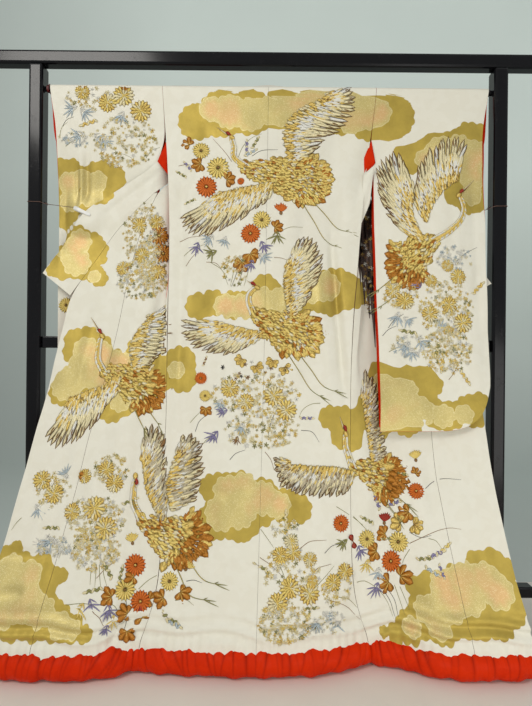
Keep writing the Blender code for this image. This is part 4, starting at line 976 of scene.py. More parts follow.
def curveThrough(places, count):
    # evenly spaced points on a smooth line through the places
    places = np.array(places, dtype=float)[:, :2]
    if len(places) == 2:
        share = np.linspace(0, 1, count)[:, None]
        return places[0] * (1 - share) + places[1] * share
    ends = np.vstack([2 * places[0] - places[1], places, 2 * places[-1] - places[-2]])
    fine = []
    for k in range(1, len(ends) - 2):
        a, b, c, d = ends[k - 1:k + 3]
        t = np.linspace(0, 1, 12, endpoint=False)[:, None]
        square, cube = 2 * a - 5 * b + 4 * c - d, 3 * b - a - 3 * c + d
        fine.append(0.5 * (2 * b + (c - a) * t + square * t ** 2 + cube * t ** 3))
    fine = np.vstack(fine + [ends[-2:-1]])
    run = np.concatenate([[0], np.cumsum(np.hypot(*np.diff(fine, axis=0).T))])
    wanted = np.linspace(0, run[-1], count)
    return np.stack([np.interp(wanted, run, fine[:, 0]), np.interp(wanted, run, fine[:, 1])], axis=1)


stitches, blades = {}, {}


def stitch(piece, thread, shape, x, z, heading, length, width, lift, on, thick=0.0008):
    # one small stitch, from its root along its heading; a sleeve has it on both faces
    group = stitches.setdefault((piece, thread, shape), [])
    for side in (-1, 1) if on.startswith("sleeve") else (-1,):
        group.append((x, z, heading, length, width, lift, on, thick, side))


def bladeRow(on, side, place, across, half, lift, ridge):
    # both edges of a blade and its ridge, or nothing where the cloth ends
    row = []
    for shift, up in ((half, lift), (0.0, lift + ridge), (-half, lift)):
        spot, normal = layOn(on, *(place + across * shift), side)
        if spot is None:
            return None
        row.append(spot + normal * up)
    return row


def blade(piece, thread, path, widths, lift, on, ridge=0.0008, rows=9, side=-1):
    # a long feather, stem or leg, ridged along its middle: widths as (share along, width)
    if on.startswith("sleeve") and side < 0:
        blade(piece, thread, path, widths, lift, on, ridge, rows, 1)
    line = curveThrough(path, rows)
    along = np.linspace(0, 1, rows)
    wide = np.interp(along, [w[0] for w in widths], [w[1] for w in widths]) / 2
    step = np.gradient(line, axis=0)
    step /= np.maximum(np.hypot(step[:, 0], step[:, 1]), 1e-9)[:, None]
    across = np.stack([-step[:, 1], step[:, 0]], axis=1)
    points, faces = blades.setdefault((piece, thread), ([], []))
    before = None
    for k in range(rows):
        row = bladeRow(on, side, line[k], across[k], wide[k], lift, ridge)
        if row is None:
            before = None
            continue
        here = len(points)
        last = None if before is None else points[before + 1]
        # a blade breaks off where the cloth falls away steeply
        joined = last is not None and abs(row[1].y - last.y) < 0.010 + 0.8 * abs(row[1].z - last.z)
        points += row
        if joined:
            for a, b in ((0, 1), (1, 2), (2, 0)):
                faces.append((before + a, before + b, here + b, here + a))
        else:
            faces.append((here, here + 1, here + 2))
            if before is not None:
                faces.append((before + 2, before + 1, before))
        before = here
    if before is not None:
        faces.append((before + 2, before + 1, before))


def stitchTree():
    tree = bpy.data.node_groups.new("stitches", "GeometryNodeTree")
    for label, kind, value in (("Places", "NodeSocketGeometry", None), ("Rows", "NodeSocketInt", 5),
                               ("Widest", "NodeSocketFloat", 1.0), ("Blunt", "NodeSocketFloat", 0.8),
                               ("Thread", "NodeSocketMaterial", None)):
        socket = tree.interface.new_socket(label, in_out="INPUT", socket_type=kind)
        if value is not None:
            socket.default_value = value
    tree.interface.new_socket("Stitches", in_out="OUTPUT", socket_type="NodeSocketGeometry")
    given, out = tree.nodes.new("NodeGroupInput").outputs, tree.nodes.new("NodeGroupOutput").inputs
    grid = addNode(tree, "GeometryNodeMeshGrid", {"Size X": 1.0, "Size Y": 1.0, "Vertices X": given["Rows"],
                                                  "Vertices Y": 3}).outputs
    mapped = addNode(tree, "GeometryNodeStoreNamedAttribute", {"Geometry": grid["Mesh"], "Name": "UVMap",
                                                               "Value": grid["UV Map"]}, data_type="FLOAT2",
                     domain="CORNER").outputs[0]
    position = addNode(tree, "GeometryNodeInputPosition").outputs[0]
    place = addNode(tree, "ShaderNodeSeparateXYZ", {0: position}).outputs
    along = addOf(tree, place[0], 0.5)
    wave = mathOf(tree, "SINE", timesOf(tree, mathOf(tree, "POWER", along, given["Widest"]), math.pi))
    half = mathOf(tree, "POWER", mathOf(tree, "MAXIMUM", wave, 0.0), given["Blunt"])
    across = timesOf(tree, place[1], half)
    crown = mathOf(tree, "SUBTRACT", 1.0, timesOf(tree, mathOf(tree, "ABSOLUTE", place[1]), 2.0))
    ridge = timesOf(tree, crown, half)
    over = addNode(tree, "ShaderNodeCombineXYZ", {0: along, 1: across, 2: ridge}).outputs[0]
    flat = addNode(tree, "ShaderNodeCombineXYZ", {0: along, 1: across}).outputs[0]
    top = addNode(tree, "GeometryNodeSetPosition", {"Geometry": mapped, "Position": over}).outputs[0]
    under = addNode(tree, "GeometryNodeSetPosition", {"Geometry": mapped, "Position": flat}).outputs[0]
    under = addNode(tree, "GeometryNodeFlipFaces", {0: under}).outputs[0]
    both = tree.nodes.new("GeometryNodeJoinGeometry")
    tree.links.new(under, both.inputs[0])
    tree.links.new(top, both.inputs[0])
    closed = {"Geometry": both.outputs[0], "Distance": 0.0005}
    whole = addNode(tree, "GeometryNodeMergeByDistance", closed).outputs[0]
    turn, size = (addNode(tree, "GeometryNodeInputNamedAttribute", {"Name": label},
                          data_type="FLOAT_VECTOR").outputs[0] for label in ("turn", "size"))
    turned = addNode(tree, "FunctionNodeEulerToRotation", {0: turn}).outputs[0]
    spread = addNode(tree, "GeometryNodeInstanceOnPoints", {"Points": given["Places"], "Instance": whole,
                                                            "Rotation": turned, "Scale": size}).outputs[0]
    real = addNode(tree, "GeometryNodeRealizeInstances", {0: spread}).outputs[0]
    sewn = {"Geometry": real, "Material": given["Thread"]}
    threaded = addNode(tree, "GeometryNodeSetMaterial", sewn).outputs[0]
    tree.links.new(addNode(tree, "GeometryNodeSetShadeSmooth", {0: threaded}).outputs[0], out[0])
    return tree


def sewStitches(tree):
    # each group of stitches becomes one mesh of real threads
    inputs = [socket for socket in tree.interface.items_tree if socket.in_out == "INPUT"]
    named = {socket.name: socket.identifier for socket in inputs}
    for (piece, thread, shape), rows in stitches.items():
        places, turns, sizes = [], [], []
        for x, z, heading, length, width, lift, on, thick, side in rows:
            back = 0.5 if shape == "round" else 0.0
            ends = [layOn(on, x + math.cos(heading) * length * k, z + math.sin(heading) * length * k, side)
                    for k in (-back, 1 - back)]
            if ends[0][0] is None:
                continue
            (spot, normal), (far, farNormal) = ends
            run = Vector((math.cos(heading), 0, math.sin(heading)))
            if far is not None and abs(far.y - spot.y) < length * 1.2:
                normal = normal + farNormal
                run = far - spot
            run.normalize()
            normal = (normal - run * normal.dot(run)).normalized()
            frameOf = Matrix((run, normal.cross(run), normal)).transposed()
            places.append(spot + normal * lift)
            turns.append(frameOf.to_euler())
            sizes.append((length, width, thick))
        if not places:
            continue
        name = piece + raised(shape) + raised(thread)
        made = newObject(name, meshFrom(name, places, [], smooth=False))
        store(made.data, "turn", np.array(turns).ravel(), "FLOAT_VECTOR", "vector")
        store(made.data, "size", np.array(sizes).ravel(), "FLOAT_VECTOR", "vector")
        work = made.modifiers.new("stitches", "NODES")
        work.node_group = tree
        for label, value in zip(("Rows", "Widest", "Blunt"), shapes[shape]):
            work[named[label]] = value
        work[named["Thread"]] = materials[thread]
        applied(made)
        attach(made, "root")


def sewBlades():
    for (piece, thread), (points, faces) in blades.items():
        if not points:
            continue
        name = piece + "Lines" + raised(thread)
        uvs = [(p.x * 30 + p.z * 30, (k % 3) / 2) for k, p in enumerate(points)]
        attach(facedOut(newObject(name, meshFrom(name, points, faces, uvs), thread)), "root")


# cranes

cranes = {
    # in mm: the spine is (x, z, half width), a wing is its arm and its feather tips, the rest are (x, z)
    "high": {
        "on": "back", "tail": "gold", "beak": (-160, 1544),
        "spine": ((-78, 1418, 19), (-37, 1404, 34), (13, 1395, 53), (69, 1386, 69), (119, 1380, 69)),
        "neck": ((-71, 1418), (-103, 1449), (-107, 1484), (-116, 1513)),
        "wings": (
            (((63, 1431), (43, 1520), (68, 1581), (118, 1616), (177, 1642)),
             ((144, 1470), (188, 1518), (231, 1547), (269, 1592), (275, 1636), (256, 1675))),
            (((13, 1370), (-39, 1356), (-92, 1350), (-135, 1336)),
             ((-17, 1299), (-54, 1276), (-91, 1248), (-140, 1221), (-191, 1196), (-244, 1202), (-268, 1256))),
        ),
        "legs": (((101, 1316), (141, 1256), (179, 1193), (231, 1166)),
                 ((135, 1320), (179, 1273), (219, 1230), (262, 1216))),
    },
    "middle": {
        "on": "back", "tail": "gold", "beak": (-60, 1059),
        "spine": ((-43, 966, 15), (-22, 948, 27), (11, 927, 45), (56, 910, 60), (98, 898, 57)),
        "neck": ((-43, 966), (-53, 994), (-50, 1019), (-32, 1040)),
        "wings": (
            (((65, 952), (53, 1010), (50, 1060), (59, 1091)),
             ((123, 996), (156, 1067), (175, 1118), (160, 1171), (132, 1202), (95, 1192))),
            (((-10, 903), (-52, 911), (-94, 920), (-124, 923)),
             ((-51, 869), (-92, 839), (-143, 836), (-218, 856), (-250, 889), (-255, 934))),
        ),
        "legs": (((65, 838), (101, 782), (133, 733), (174, 707)),
                 ((95, 841), (134, 791), (168, 745), (219, 725))),
    },
    "left": {
        "on": "frontLeft", "tail": "rust", "beak": (-534, 943),
        "spine": ((-483, 782, 15), (-459, 777, 27), (-429, 768, 41), (-387, 751, 56), (-352, 728, 50)),
        "neck": ((-483, 782), (-501, 817), (-501, 859), (-497, 889)),
        "wings": (
            (((-396, 795), (-408, 851), (-393, 893), (-359, 933)),
             ((-339, 810), (-316, 834), (-281, 849), (-271, 900), (-267, 955), (-269, 1005))),
            (((-430, 774), (-465, 745), (-517, 729), (-562, 706)),
             ((-469, 676), (-486, 642), (-509, 614), (-558, 574), (-604, 564), (-636, 593))),
        ),
        "legs": (((-376, 668), (-363, 642), (-348, 614)),
                 ((-343, 673), (-326, 651), (-308, 629))),
    },
    "low": {
        "on": "back frontLeft", "tail": "rust", "dusky": True, "beak": (-361, 447),
        "spine": ((-348, 384, 14), (-321, 364, 25), (-287, 342, 41), (-253, 331, 58), (-220, 331, 55)),
        "neck": ((-345, 384), (-364, 418), (-367, 452), (-364, 486)),
        "wings": (
            (((-283, 370), (-320, 426), (-339, 483), (-345, 526)),
             ((-270, 427), (-273, 493), (-280, 560), (-291, 601), (-316, 631), (-343, 628))),
            (((-265, 406), (-278, 466), (-266, 512), (-248, 544)),
             ((-192, 427), (-174, 477), (-173, 523), (-177, 564), (-196, 594), (-234, 607))),
        ),
        "legs": (((-249, 282), (-225, 239), (-198, 194), (-142, 180)),
                 ((-220, 294), (-191, 260), (-160, 230), (-117, 220))),
    },
    "right": {
        "on": "back frontRight", "tail": "rust", "dusky": True, "beak": (214, 659),
        "spine": ((246, 523, 14), (266, 517, 23), (290, 508, 34), (319, 493, 49), (349, 481, 49)),
        "neck": ((248, 520), (238, 550), (230, 578), (230, 614)),
        "wings": (
            (((248, 512), (202, 521), (139, 523), (74, 523)),
             ((226, 451), (178, 441), (121, 444), (77, 454), (40, 472), (29, 501), (26, 542))),
            (((303, 529), (296, 590), (289, 647), (285, 704)),
             ((358, 544), (355, 594), (338, 649), (336, 703), (323, 762), (295, 792))),
        ),
        "legs": (((335, 438), (356, 406), (380, 375)),
                 ((359, 449), (386, 427), (412, 407))),
    },
    "sleeve": {
        "on": "sleeveRight", "tail": "rust", "beak": (647, 1389),
        "spine": ((518, 1194, 19), (497, 1184, 31), (471, 1168, 46), (446, 1143, 58), (436, 1111, 52)),
        "neck": ((518, 1194), (562, 1223), (598, 1259), (609, 1297), (597, 1339)),
        "wings": (
            (((495, 1248), (505, 1289), (537, 1338), (582, 1377)),
             ((460, 1365), (476, 1436), (504, 1484), (542, 1510), (592, 1520), (624, 1501))),
            (((484, 1190), (461, 1238), (449, 1279), (450, 1311)),
             ((384, 1259), (360, 1314), (344, 1364), (345, 1432), (370, 1464), (407, 1483), (429, 1439))),
        ),
        "legs": (((398, 1086), (367, 1057), (336, 1032)),
                 ((432, 1073), (381, 1011), (337, 978))),
    },
}
craneLooks = {
    # the wing's long feathers: width, spacing, fewest, most, shortest, how far they bow, tip's width, play
    "feather": 0.0150, "spacing": 0.0142, "fewest": 10, "most": 26, "shortest": 0.02, "bow": 0.05,
    "point": 0.0008, "play": 0.005,
    # the body's plumes: spacing, play as a share of it, length, reach beyond the spine, splay at the tail
    "scale": 0.0090, "bodyPlay": 0.35, "plume": 0.0185, "beyond": 0.08, "splay": 0.75, "fringe": 64,
    # the neck's plumes: number, from the middle, angle to the neck, and the leg's width
    "neckPlumes": 33, "neckAside": 0.0034, "neckTurn": 0.35, "leg": 0.0025,
    # a long feather's dark outline and pale vane: place along it and share of its width
    "outline": ((0, 0.5), (0.45, 0.92), (0.88, 0.88), (0.97, 0.5)),
    "vane": ((0, 0.4), (0.4, 0.74), (0.87, 0.66), (0.96, 0.36)),
    # rows of short feathers: place along the long ones, length, thread
    "rows": ((0.02, 0.020, "gold"), (0.10, 0.025, "gold"), (0.19, 0.030, "silver"), (0.29, 0.034, "silver"),
             (0.40, 0.036, "paleGold")),
    # the toes: spread, length
    "toes": ((-0.16, 0.048), (0.10, 0.038), (0.55, 0.014)),
}


def makeWing(on, arm, tips, own, dusky):
    # a fan of long outlined feathers from the arm to the tips, with rows of short ones over their roots
    looks, play = craneLooks, craneLooks["play"]
    reach = float(np.hypot(*np.diff(curveThrough(tips, 30), axis=0).T).sum())
    count = int(min(looks["most"], max(looks["fewest"], reach / looks["spacing"])))
    arms, ends = curveThrough(arm, 60), curveThrough(tips, 60)
    before = None
    for k in range(count):
        share = k / (count - 1)
        root = arms[min(59, int(59 * min(1.0, share * 1.25)))]
        tip = ends[int(59 * share)] + (own.uniform(-play, play), own.uniform(-play, play))
        run = tip - root
        length = float(np.hypot(*run))
        if length < looks["shortest"]:
            continue
        aside = np.array((-run[1], run[0])) * looks["bow"]
        if before is not None and np.dot(aside, tip - before) > 0:
            aside = -aside
        before = tip
        middle = root + run * 0.55 + aside
        wide = looks["feather"] * (0.85 + 0.3 * own.random())
        path = (root, middle, tip)
        lift = 0.0004 + 0.0005 * (k % 2)
        outline, vane = ([(at, wide * part) for at, part in looks[label]] + [(1, looks["point"])]
                         for label in ("outline", "vane"))
        blade("craneFeather", "bronze", path, outline, lift, on, 0.0003, 10)
        inner = root + run * 0.972 + aside * 0.06
        pale = "silver" if k % 7 == 3 else "paleGold"
        if dusky:
            pale = "taupe" if k % 2 else pale
        blade("craneFeather", pale, (root, middle, inner), vane, lift + 0.0004, on, 0.0006, 10)
        heading = math.atan2(run[1], run[0])
        line = curveThrough(path, 40)
        if own.random() < 0.75:
            stitch("crane", "bronze", "plume", *line[int(39 * own.uniform(0.70, 0.80))], heading,
                   min(0.022, length * 0.16), wide * 0.26, lift + 0.0011, on, 0.0006)
        for at, size, thread in looks["rows"]:
            for half in (-0.5, 0.0, 0.5):
                there = line[int(39 * min(1.0, at + abs(half) * 0.06))]
                nudge = np.array((-math.sin(heading), math.cos(heading))) * half * looks["feather"] * 0.9
                there = there + nudge + (own.uniform(-0.002, 0.002), own.uniform(-0.002, 0.002))
                lit = own.choice(("gold", "paleGold", "paleGold")) if own.random() < 0.42 else thread
                if dusky and at > 0.05 and own.random() < 0.55:
                    lit = "taupe"
                turned = heading + own.uniform(-0.18, 0.18)
                short = min(size, length * 0.30) * own.uniform(0.85, 1.15)
                stitch("crane", lit, "plume", *there, turned, short, 0.0092, 0.0022 - at * 0.0020, on, 0.0009)
                if half and own.random() < 0.22:
                    above = 0.0040 - at * 0.003
                    stitch("crane", "bronze", "fleck", *there, heading, 0.010, 0.0024, above, on, 0.0004)


def makeBody(facts, on, own):
    # plumes that lie along the spine and splay at the tail
    looks = craneLooks
    dusky, step, play = "dusky" in facts, looks["scale"], looks["bodyPlay"]
    spine = np.array(metres(facts["spine"]))
    tail = spine[-1]
    flow = spine[-1, :2] - spine[0, :2]
    flow = math.atan2(flow[1], flow[0])
    low, high = spine[:, :2].min(0) - looks["beyond"], spine[:, :2].max(0) + looks["beyond"]
    for x0, z0 in itertools.product(np.arange(low[0], high[0], step), np.arange(low[1], high[1], step)):
        x, z = x0 + own.uniform(-play, play) * step, z0 + own.uniform(-play, play) * step
        inside = max(r - math.hypot(x - a, z - b) for a, b, r in spine)
        if inside < 0:
            continue
        outward = math.atan2(z - tail[1], x - tail[0])
        near = min(1.0, math.hypot(x - tail[0], z - tail[1]) / max(tail[2], 0.01))
        bend = (outward - flow + math.pi) % (2 * math.pi) - math.pi
        splayed = bend * looks["splay"] * near if abs(bend) < 2.0 else 0.0
        heading = flow + splayed + own.uniform(-0.30, 0.30)
        dark = 0.10
        if facts["tail"] == "rust" and abs(bend) < 1.7 and (inside < tail[2] * 0.75 or dusky):
            dark = 0.96 if dusky else 0.88
        chance = own.random()
        thread = "yellow" if chance > 0.50 else "paleGold" if chance > 0.40 else "gold"
        thread = "rust" if chance < dark else thread
        lift = 0.0006 + min(inside, 0.03) * 0.030 + own.uniform(0, 0.0006)
        if own.random() < 0.5:
            under = "rust" if thread == "rust" else "gold"
            stitch("crane", under, "plume", x, z, heading, 0.032, 0.024, 0.0003, on, 0.0003)
        length = looks["plume"] * own.uniform(0.8, 1.2)
        stitch("crane", thread, "plume", x, z, heading, length, 0.0104, lift, on, 0.0009)
        if own.random() < 0.30:
            mark = own.choice(("rust", "bronze", "rust"))
            turned = heading + own.uniform(-0.6, 0.6)
            length = own.uniform(0.006, 0.011)
            stitch("crane", mark, "fleck", x, z, turned, length, 0.0034, lift + 0.0012, on, 0.0006)
    for k in range(looks["fringe"]):  # round the tail
        bend = -2.0 + 4.0 * k / (looks["fringe"] - 1)
        out = np.array((math.cos(flow + bend), math.sin(flow + bend)))
        x, z = tail[:2] + out * tail[2] * own.uniform(0.72, 0.9)
        thread = facts["tail"] if k % 3 else "rust" if k % 2 else "yellow"
        length = looks["plume"] * own.uniform(1.1, 1.5)
        stitch("crane", thread, "plume", x, z, flow + bend * 0.9, length, 0.0092, 0.0008, on, 0.0009)


def makeNeck(neck, on, own, aim):
    # short plumes point back on both sides of the neck, paler on the side it aims at
    looks, count = craneLooks, craneLooks["neckPlumes"]
    blade("craneNeck", "gold", neck, ((0, 0.024), (0.4, 0.015), (1, 0.010)), 0.0010, on, 0.0008, 14)
    line = curveThrough(neck, count + 1)
    for k in range(count):
        run = line[k + 1] - line[k]
        heading = math.atan2(run[1], run[0])
        aside = np.array((-math.sin(heading), math.cos(heading)))
        for flip in (-1, 1):
            x, z = line[k] + aside * flip * looks["neckAside"] * (1.7 - k / count)
            threads = ("silver", "silver", "paleGold") if flip * aim > 0 else ("gold", "yellow", "silver")
            turned = heading + 3.14 - flip * looks["neckTurn"]
            stitch("crane", own.choice(threads), "plume", x, z, turned, 0.013, 0.0060, 0.0019, on, 0.0010)


def makeHead(head, beak, on):
    run = beak - head
    heading = math.atan2(run[1], run[0])
    aside = np.array((-math.sin(heading), math.cos(heading)))
    back = head - 0.004 * run / np.hypot(*run)
    crown = head + aside * 0.003 * (1 if aside[1] > 0 else -1)
    stitch("crane", "gold", "round", *back, heading, 0.020, 0.014, 0.0026, on, 0.0022)
    stitch("crane", "crimson", "petal", *crown, heading, 0.022, 0.011, 0.0044, on, 0.0018)
    stitch("crane", "ink", "round", *(head + 0.30 * run), heading, 0.0035, 0.0035, 0.0060, on, 0.0010)
    for flip, thread in ((-1, "bronze"), (1, "paleGold")):
        path = (head + run * 0.25 + aside * 0.0012 * flip, beak)
        blade("craneNeck", thread, path, ((0, 0.0042), (0.5, 0.0026), (1, 0.0008)), 0.0024, on, 0.0006, 7)


def makeLeg(leg, on):
    wide = craneLooks["leg"]
    blade("craneLeg", "leafGreen", leg, ((0, wide * 1.2), (0.7, wide), (1, 0.0014)), 0.0008, on, 0.0010, 18)
    line = curveThrough(leg, 18)
    blade("craneLeg", "gold", line[2:13], ((0, 0.0008), (1, 0.0012)), 0.0019, on, 0.0004, 10)
    run = line[-1] - line[-3]
    heading = math.atan2(run[1], run[0])
    for spread, toe in craneLooks["toes"]:
        stitch("craneLeg", "leafGreen", "leaf", *line[-3], heading + spread, toe, 0.0026, 0.0010, on, 0.0008)


def makeCrane(facts, number):
    own, on = random.Random(40 + number), facts["on"]
    neck = metres(facts["neck"])
    for arm, tips in metres(facts["wings"]):
        makeWing(on, arm, tips, own, "dusky" in facts)
    makeBody(facts, on, own)
    makeNeck(neck, on, own, 1 if number % 2 else -1)
    makeHead(np.array(neck[-1]), np.array(metres(facts["beak"])), on)
    for leg in metres(facts["legs"]):
        makeLeg(leg, on)


for number, facts in enumerate(cranes.values()):
    makeCrane(facts, number)
print("cranes drawn", len(stitches), "groups")


# flowers and leaves

flowerLooks = {
    # ring of petals, the ground under it and the heart
    "yellow": ("yellow", "leafGreen", "bronze", 17), "orange": ("orange", "crimson", "gold", 18),
    "gold": ("gold", "rust", "yellow", 16), "paleGold": ("paleGold", "gold", "yellow", 14),
    "brown": ("rust", "umber", "gold", 15),
}
flowerShape = {"near": 0.10, "groundNear": 0.06, "wide": 0.76, "ground": (0.80, 1.5), "heart": 0.24,
               "innerPetals": 10, "inner": (0.60, 0.22)}
flowers = (
    # cloth, kind, then each flower as (x, z, radius) in mm
    ("frontLeft", "brown", ((-334, 1200, 31), (-322, 1146, 30))),
    ("back", "yellow", ((-208, 1468, 28), (-154, 1413, 36))),
    ("back", "orange", ((-189, 1352, 34), (-83, 1369, 12))),
    ("back", "yellow", ((-17, 1248, 29),)),
    ("back", "orange", ((-51, 1205, 32), (-191, 764, 19))),
    ("back", "yellow", ((-177, 713, 18),)),
    ("back", "gold", ((61, 675, 32), (25, 715, 32), (-105, 736, 29), (-57, 697, 26))),
    ("frontLeft", "gold", (
        (-628, 475, 28), (-589, 440, 28), (-506, 488, 22), (-445, 508, 25), (-419, 472, 27), (-531, 395, 25),
        (-469, 408, 33), (-433, 358, 33),
    )),
    ("frontLeft", "orange", ((-349, 260, 30), (-329, 173, 29))),
    ("frontLeft", "yellow", ((-373, 200, 29),)),
    ("back", "yellow", ((-253, 225, 25),)),
    ("back", "paleGold", ((74, 326, 21),)),
    ("back", "gold", (
        (44, 292, 24), (79, 301, 22), (124, 286, 20), (69, 215, 29), (121, 204, 29), (37, 178, 29),
        (220, 249, 24), (186, 226, 24), (130, 235, 16),
    )),
    ("frontRight", "orange", ((434, 449, 24), (353, 264, 30))),
    ("back", "orange", ((212, 370, 24),)),
    ("frontRight", "yellow", ((378, 311, 29), (286, 326, 26))),
    ("sleeveLeft", "gold", ((-584, 1653, 25), (-504, 1620, 31), (-455, 1643, 35), (-400, 1596, 35))),
    ("sleeveLeft", "yellow", ((-626, 983, 25),)),
    ("sleeveLeft", "orange", ((-610, 935, 11),)),
    ("frontLeft", "gold", (
        (-397, 1232, 25), (-343, 1242, 25), (-443, 1097, 24), (-385, 1137, 25), (-333, 1086, 25),
    )),
    ("sleeveRight", "gold", (
        (554, 1113, 21), (586, 1079, 26), (500, 1065, 21), (384, 1032, 24), (420, 1002, 29), (495, 963, 27),
        (555, 992, 27), (597, 937, 32),
    )),
)
leaves = (
    # cloth, kind, then each leaf as (x, z, length, thread, heading), in mm and degrees
    ("back", "lobed", (
        (-207, 1425, 22, "bronze", 200), (-128, 1375, 22, "bronze", 20), (22, 1226, 19, "bronze", 20),
        (-76, 1118, 24, "bronze", 250), (-52, 1143, 25, "bronze", 300),
    )),
    ("back", "bud", ((42, 1274, 25, "orange", 90),)),
    ("back", "lobed", ((-244, 1485, 19, "bronze", 140),)),
    ("back", "bamboo", (
        (-215, 1164, 28, "violet", 250), (-167, 1148, 28, "leafGreen", 200), (-12, 1169, 28, "violet", 300),
        (-46, 1112, 24, "violet", 250), (30, 1201, 28, "leafGreen", 270), (-176, 1193, 28, "paleBlue", 230),
        (-15, 1134, 28, "paleBlue", 320), (-130, 1187, 25, "paleBlue", 250),
    )),
    ("back", "sprig", (
        (-252, 1383, 19, "leafGreen", 150), (-236, 1402, 19, "violet", 130), (-50, 1475, 22, "leafGreen", 60),
        (-66, 1459, 22, "violet", 90), (-72, 1450, 22, "paleBlue", 30), (-222, 1313, 19, "leafGreen", 200),
    )),
    ("back", "lobed", (
        (-71, 823, 18, "gold", 230), (-29, 803, 18, "gold", 300), (21, 819, 18, "gold", 250),
        (54, 799, 18, "gold", 300), (-174, 678, 17, "bronze", 270),
    )),
    ("back", "sprig", ((-186, 800, 15, "bronze", 70),)),
    ("back", "bamboo", (
        (-130, 693, 26, "paleBlue", 250), (-68, 626, 26, "paleBlue", 240), (-145, 603, 29, "violet", 230),
        (-82, 593, 17, "bronze", 250),
    )),
    ("back", "lobed", ((-9, 601, 23, "gold", 260),)),
    ("back", "sprig", ((100, 653, 20, "violet", 0),)),
    ("back", "bamboo", ((-120, 670, 23, "violet", 200),)),
    ("frontLeft", "bamboo", (
        (-581, 320, 27, "paleBlue", 230), (-630, 401, 28, "paleBlue", 300), (-564, 491, 25, "paleBlue", 120),
        (-551, 308, 24, "silver", 260), (-606, 315, 22, "silver", 200),
    )),
    ("frontLeft", "sprig", ((-562, 354, 22, "leafGreen", 180), (-394, 417, 22, "leafGreen", 20))),
    ("frontLeft", "bud", ((-361, 317, 22, "yellow", 100),)),
    ("back", "bud", ((-210, 255, 22, "yellow", 60),)),
    ("frontLeft", "lobed", ((-403, 189, 21, "bronze", 170), (-351, 230, 19, "bronze", 200))),
    ("back", "lobed", ((-266, 186, 21, "bronze", 200), (-223, 201, 21, "bronze", 330))),
    ("frontLeft", "lobed", (
        (-360, 145, 21, "bronze", 170), (-323, 134, 21, "bronze", 300), (-357, 109, 21, "bronze", 270),
        (-305, 179, 19, "bronze", 0),
    )),
    ("frontLeft", "bamboo", (
        (-453, 177, 26, "violet", 290), (-478, 170, 26, "yellow", 240), (-407, 161, 26, "violet", 280),
        (-394, 137, 23, "yellow", 260), (-409, 120, 23, "violet", 250),
    )),
    ("frontLeft", "sprig", ((-428, 211, 24, "leafGreen", 190), (-407, 231, 24, "leafGreen", 120))),
    ("back", "sprig", ((-268, 153, 26, "leafGreen", 330), (-256, 136, 24, "paleBlue", 340))),
    ("frontLeft", "sprig", ((-389, 220, 21, "leafGreen", 80),)),
    ("back", "sprig", ((60, 360, 22, "paleGold", 90), (8, 255, 21, "leafGreen", 150))),
    ("back", "bamboo", (
        (163, 148, 24, "paleBlue", 300), (195, 120, 24, "paleBlue", 260), (144, 134, 24, "paleBlue", 240),
    )),
    ("back", "sprig", ((104, 169, 21, "leafGreen", 0),)),
    ("frontRight", "bud", ((339, 365, 23, "crimson", 80), (440, 534, 23, "yellow", 95))),
    ("frontRight", "lobed", (
        (411, 392, 23, "bronze", 200), (387, 361, 23, "gold", 160), (421, 359, 22, "gold", 340),
        (341, 335, 20, "bronze", 170), (313, 292, 22, "bronze", 190), (246, 322, 19, "crimson", 200),
        (345, 213, 25, "bronze", 200), (378, 225, 25, "bronze", 20), (435, 495, 14, "bronze", 60),
    )),
    ("frontRight", "sprig", (
        (415, 490, 20, "leafGreen", 170), (327, 399, 25, "violet", 110), (391, 420, 23, "violet", 200),
        (307, 364, 22, "leafGreen", 150), (423, 273, 22, "leafGreen", 10), (454, 281, 25, "violet", 20),
        (484, 290, 22, "yellow", 40), (442, 258, 22, "paleBlue", 330), (479, 266, 19, "violet", 290),
    )),
    ("frontRight", "bamboo", (
        (265, 299, 25, "violet", 290), (284, 263, 25, "yellow", 250), (309, 203, 27, "violet", 250),
        (315, 240, 25, "paleBlue", 260),
    )),
    ("back", "bamboo", ((220, 321, 25, "leafGreen", 220),)),
    ("frontRight", "sprig", ((326, 322, 17, "leafGreen", 0),)),
    ("sleeveLeft", "bamboo", (
        (-613, 1603, 31, "paleBlue", 200), (-579, 1591, 28, "paleBlue", 320),
        (-591, 1518, 31, "paleBlue", 210), (-535, 1513, 31, "paleBlue", 320),
        (-515, 1500, 28, "paleBlue", 300), (-459, 1582, 28, "paleBlue", 250),
    )),
    ("sleeveLeft", "sprig", ((-538, 1566, 28, "gold", 200),)),
    ("sleeveRight", "bamboo", (
        (396, 955, 30, "paleBlue", 250), (424, 944, 27, "paleBlue", 320), (417, 865, 30, "paleBlue", 230),
        (462, 880, 30, "paleBlue", 300), (434, 847, 27, "paleBlue", 260), (525, 921, 24, "paleBlue", 80),
    )),
    ("sleeveRight", "sprig", (
        (452, 903, 27, "leafGreen", 170), (633, 1027, 27, "gold", 45), (519, 878, 24, "leafGreen", 250),
    )),
    ("sleeveRight", "bamboo", ((461, 1052, 24, "violet", 130),)),
    ("sleeveRight", "sprig", ((528, 834, 24, "gold", 260), (579, 793, 24, "gold", 300))),
)
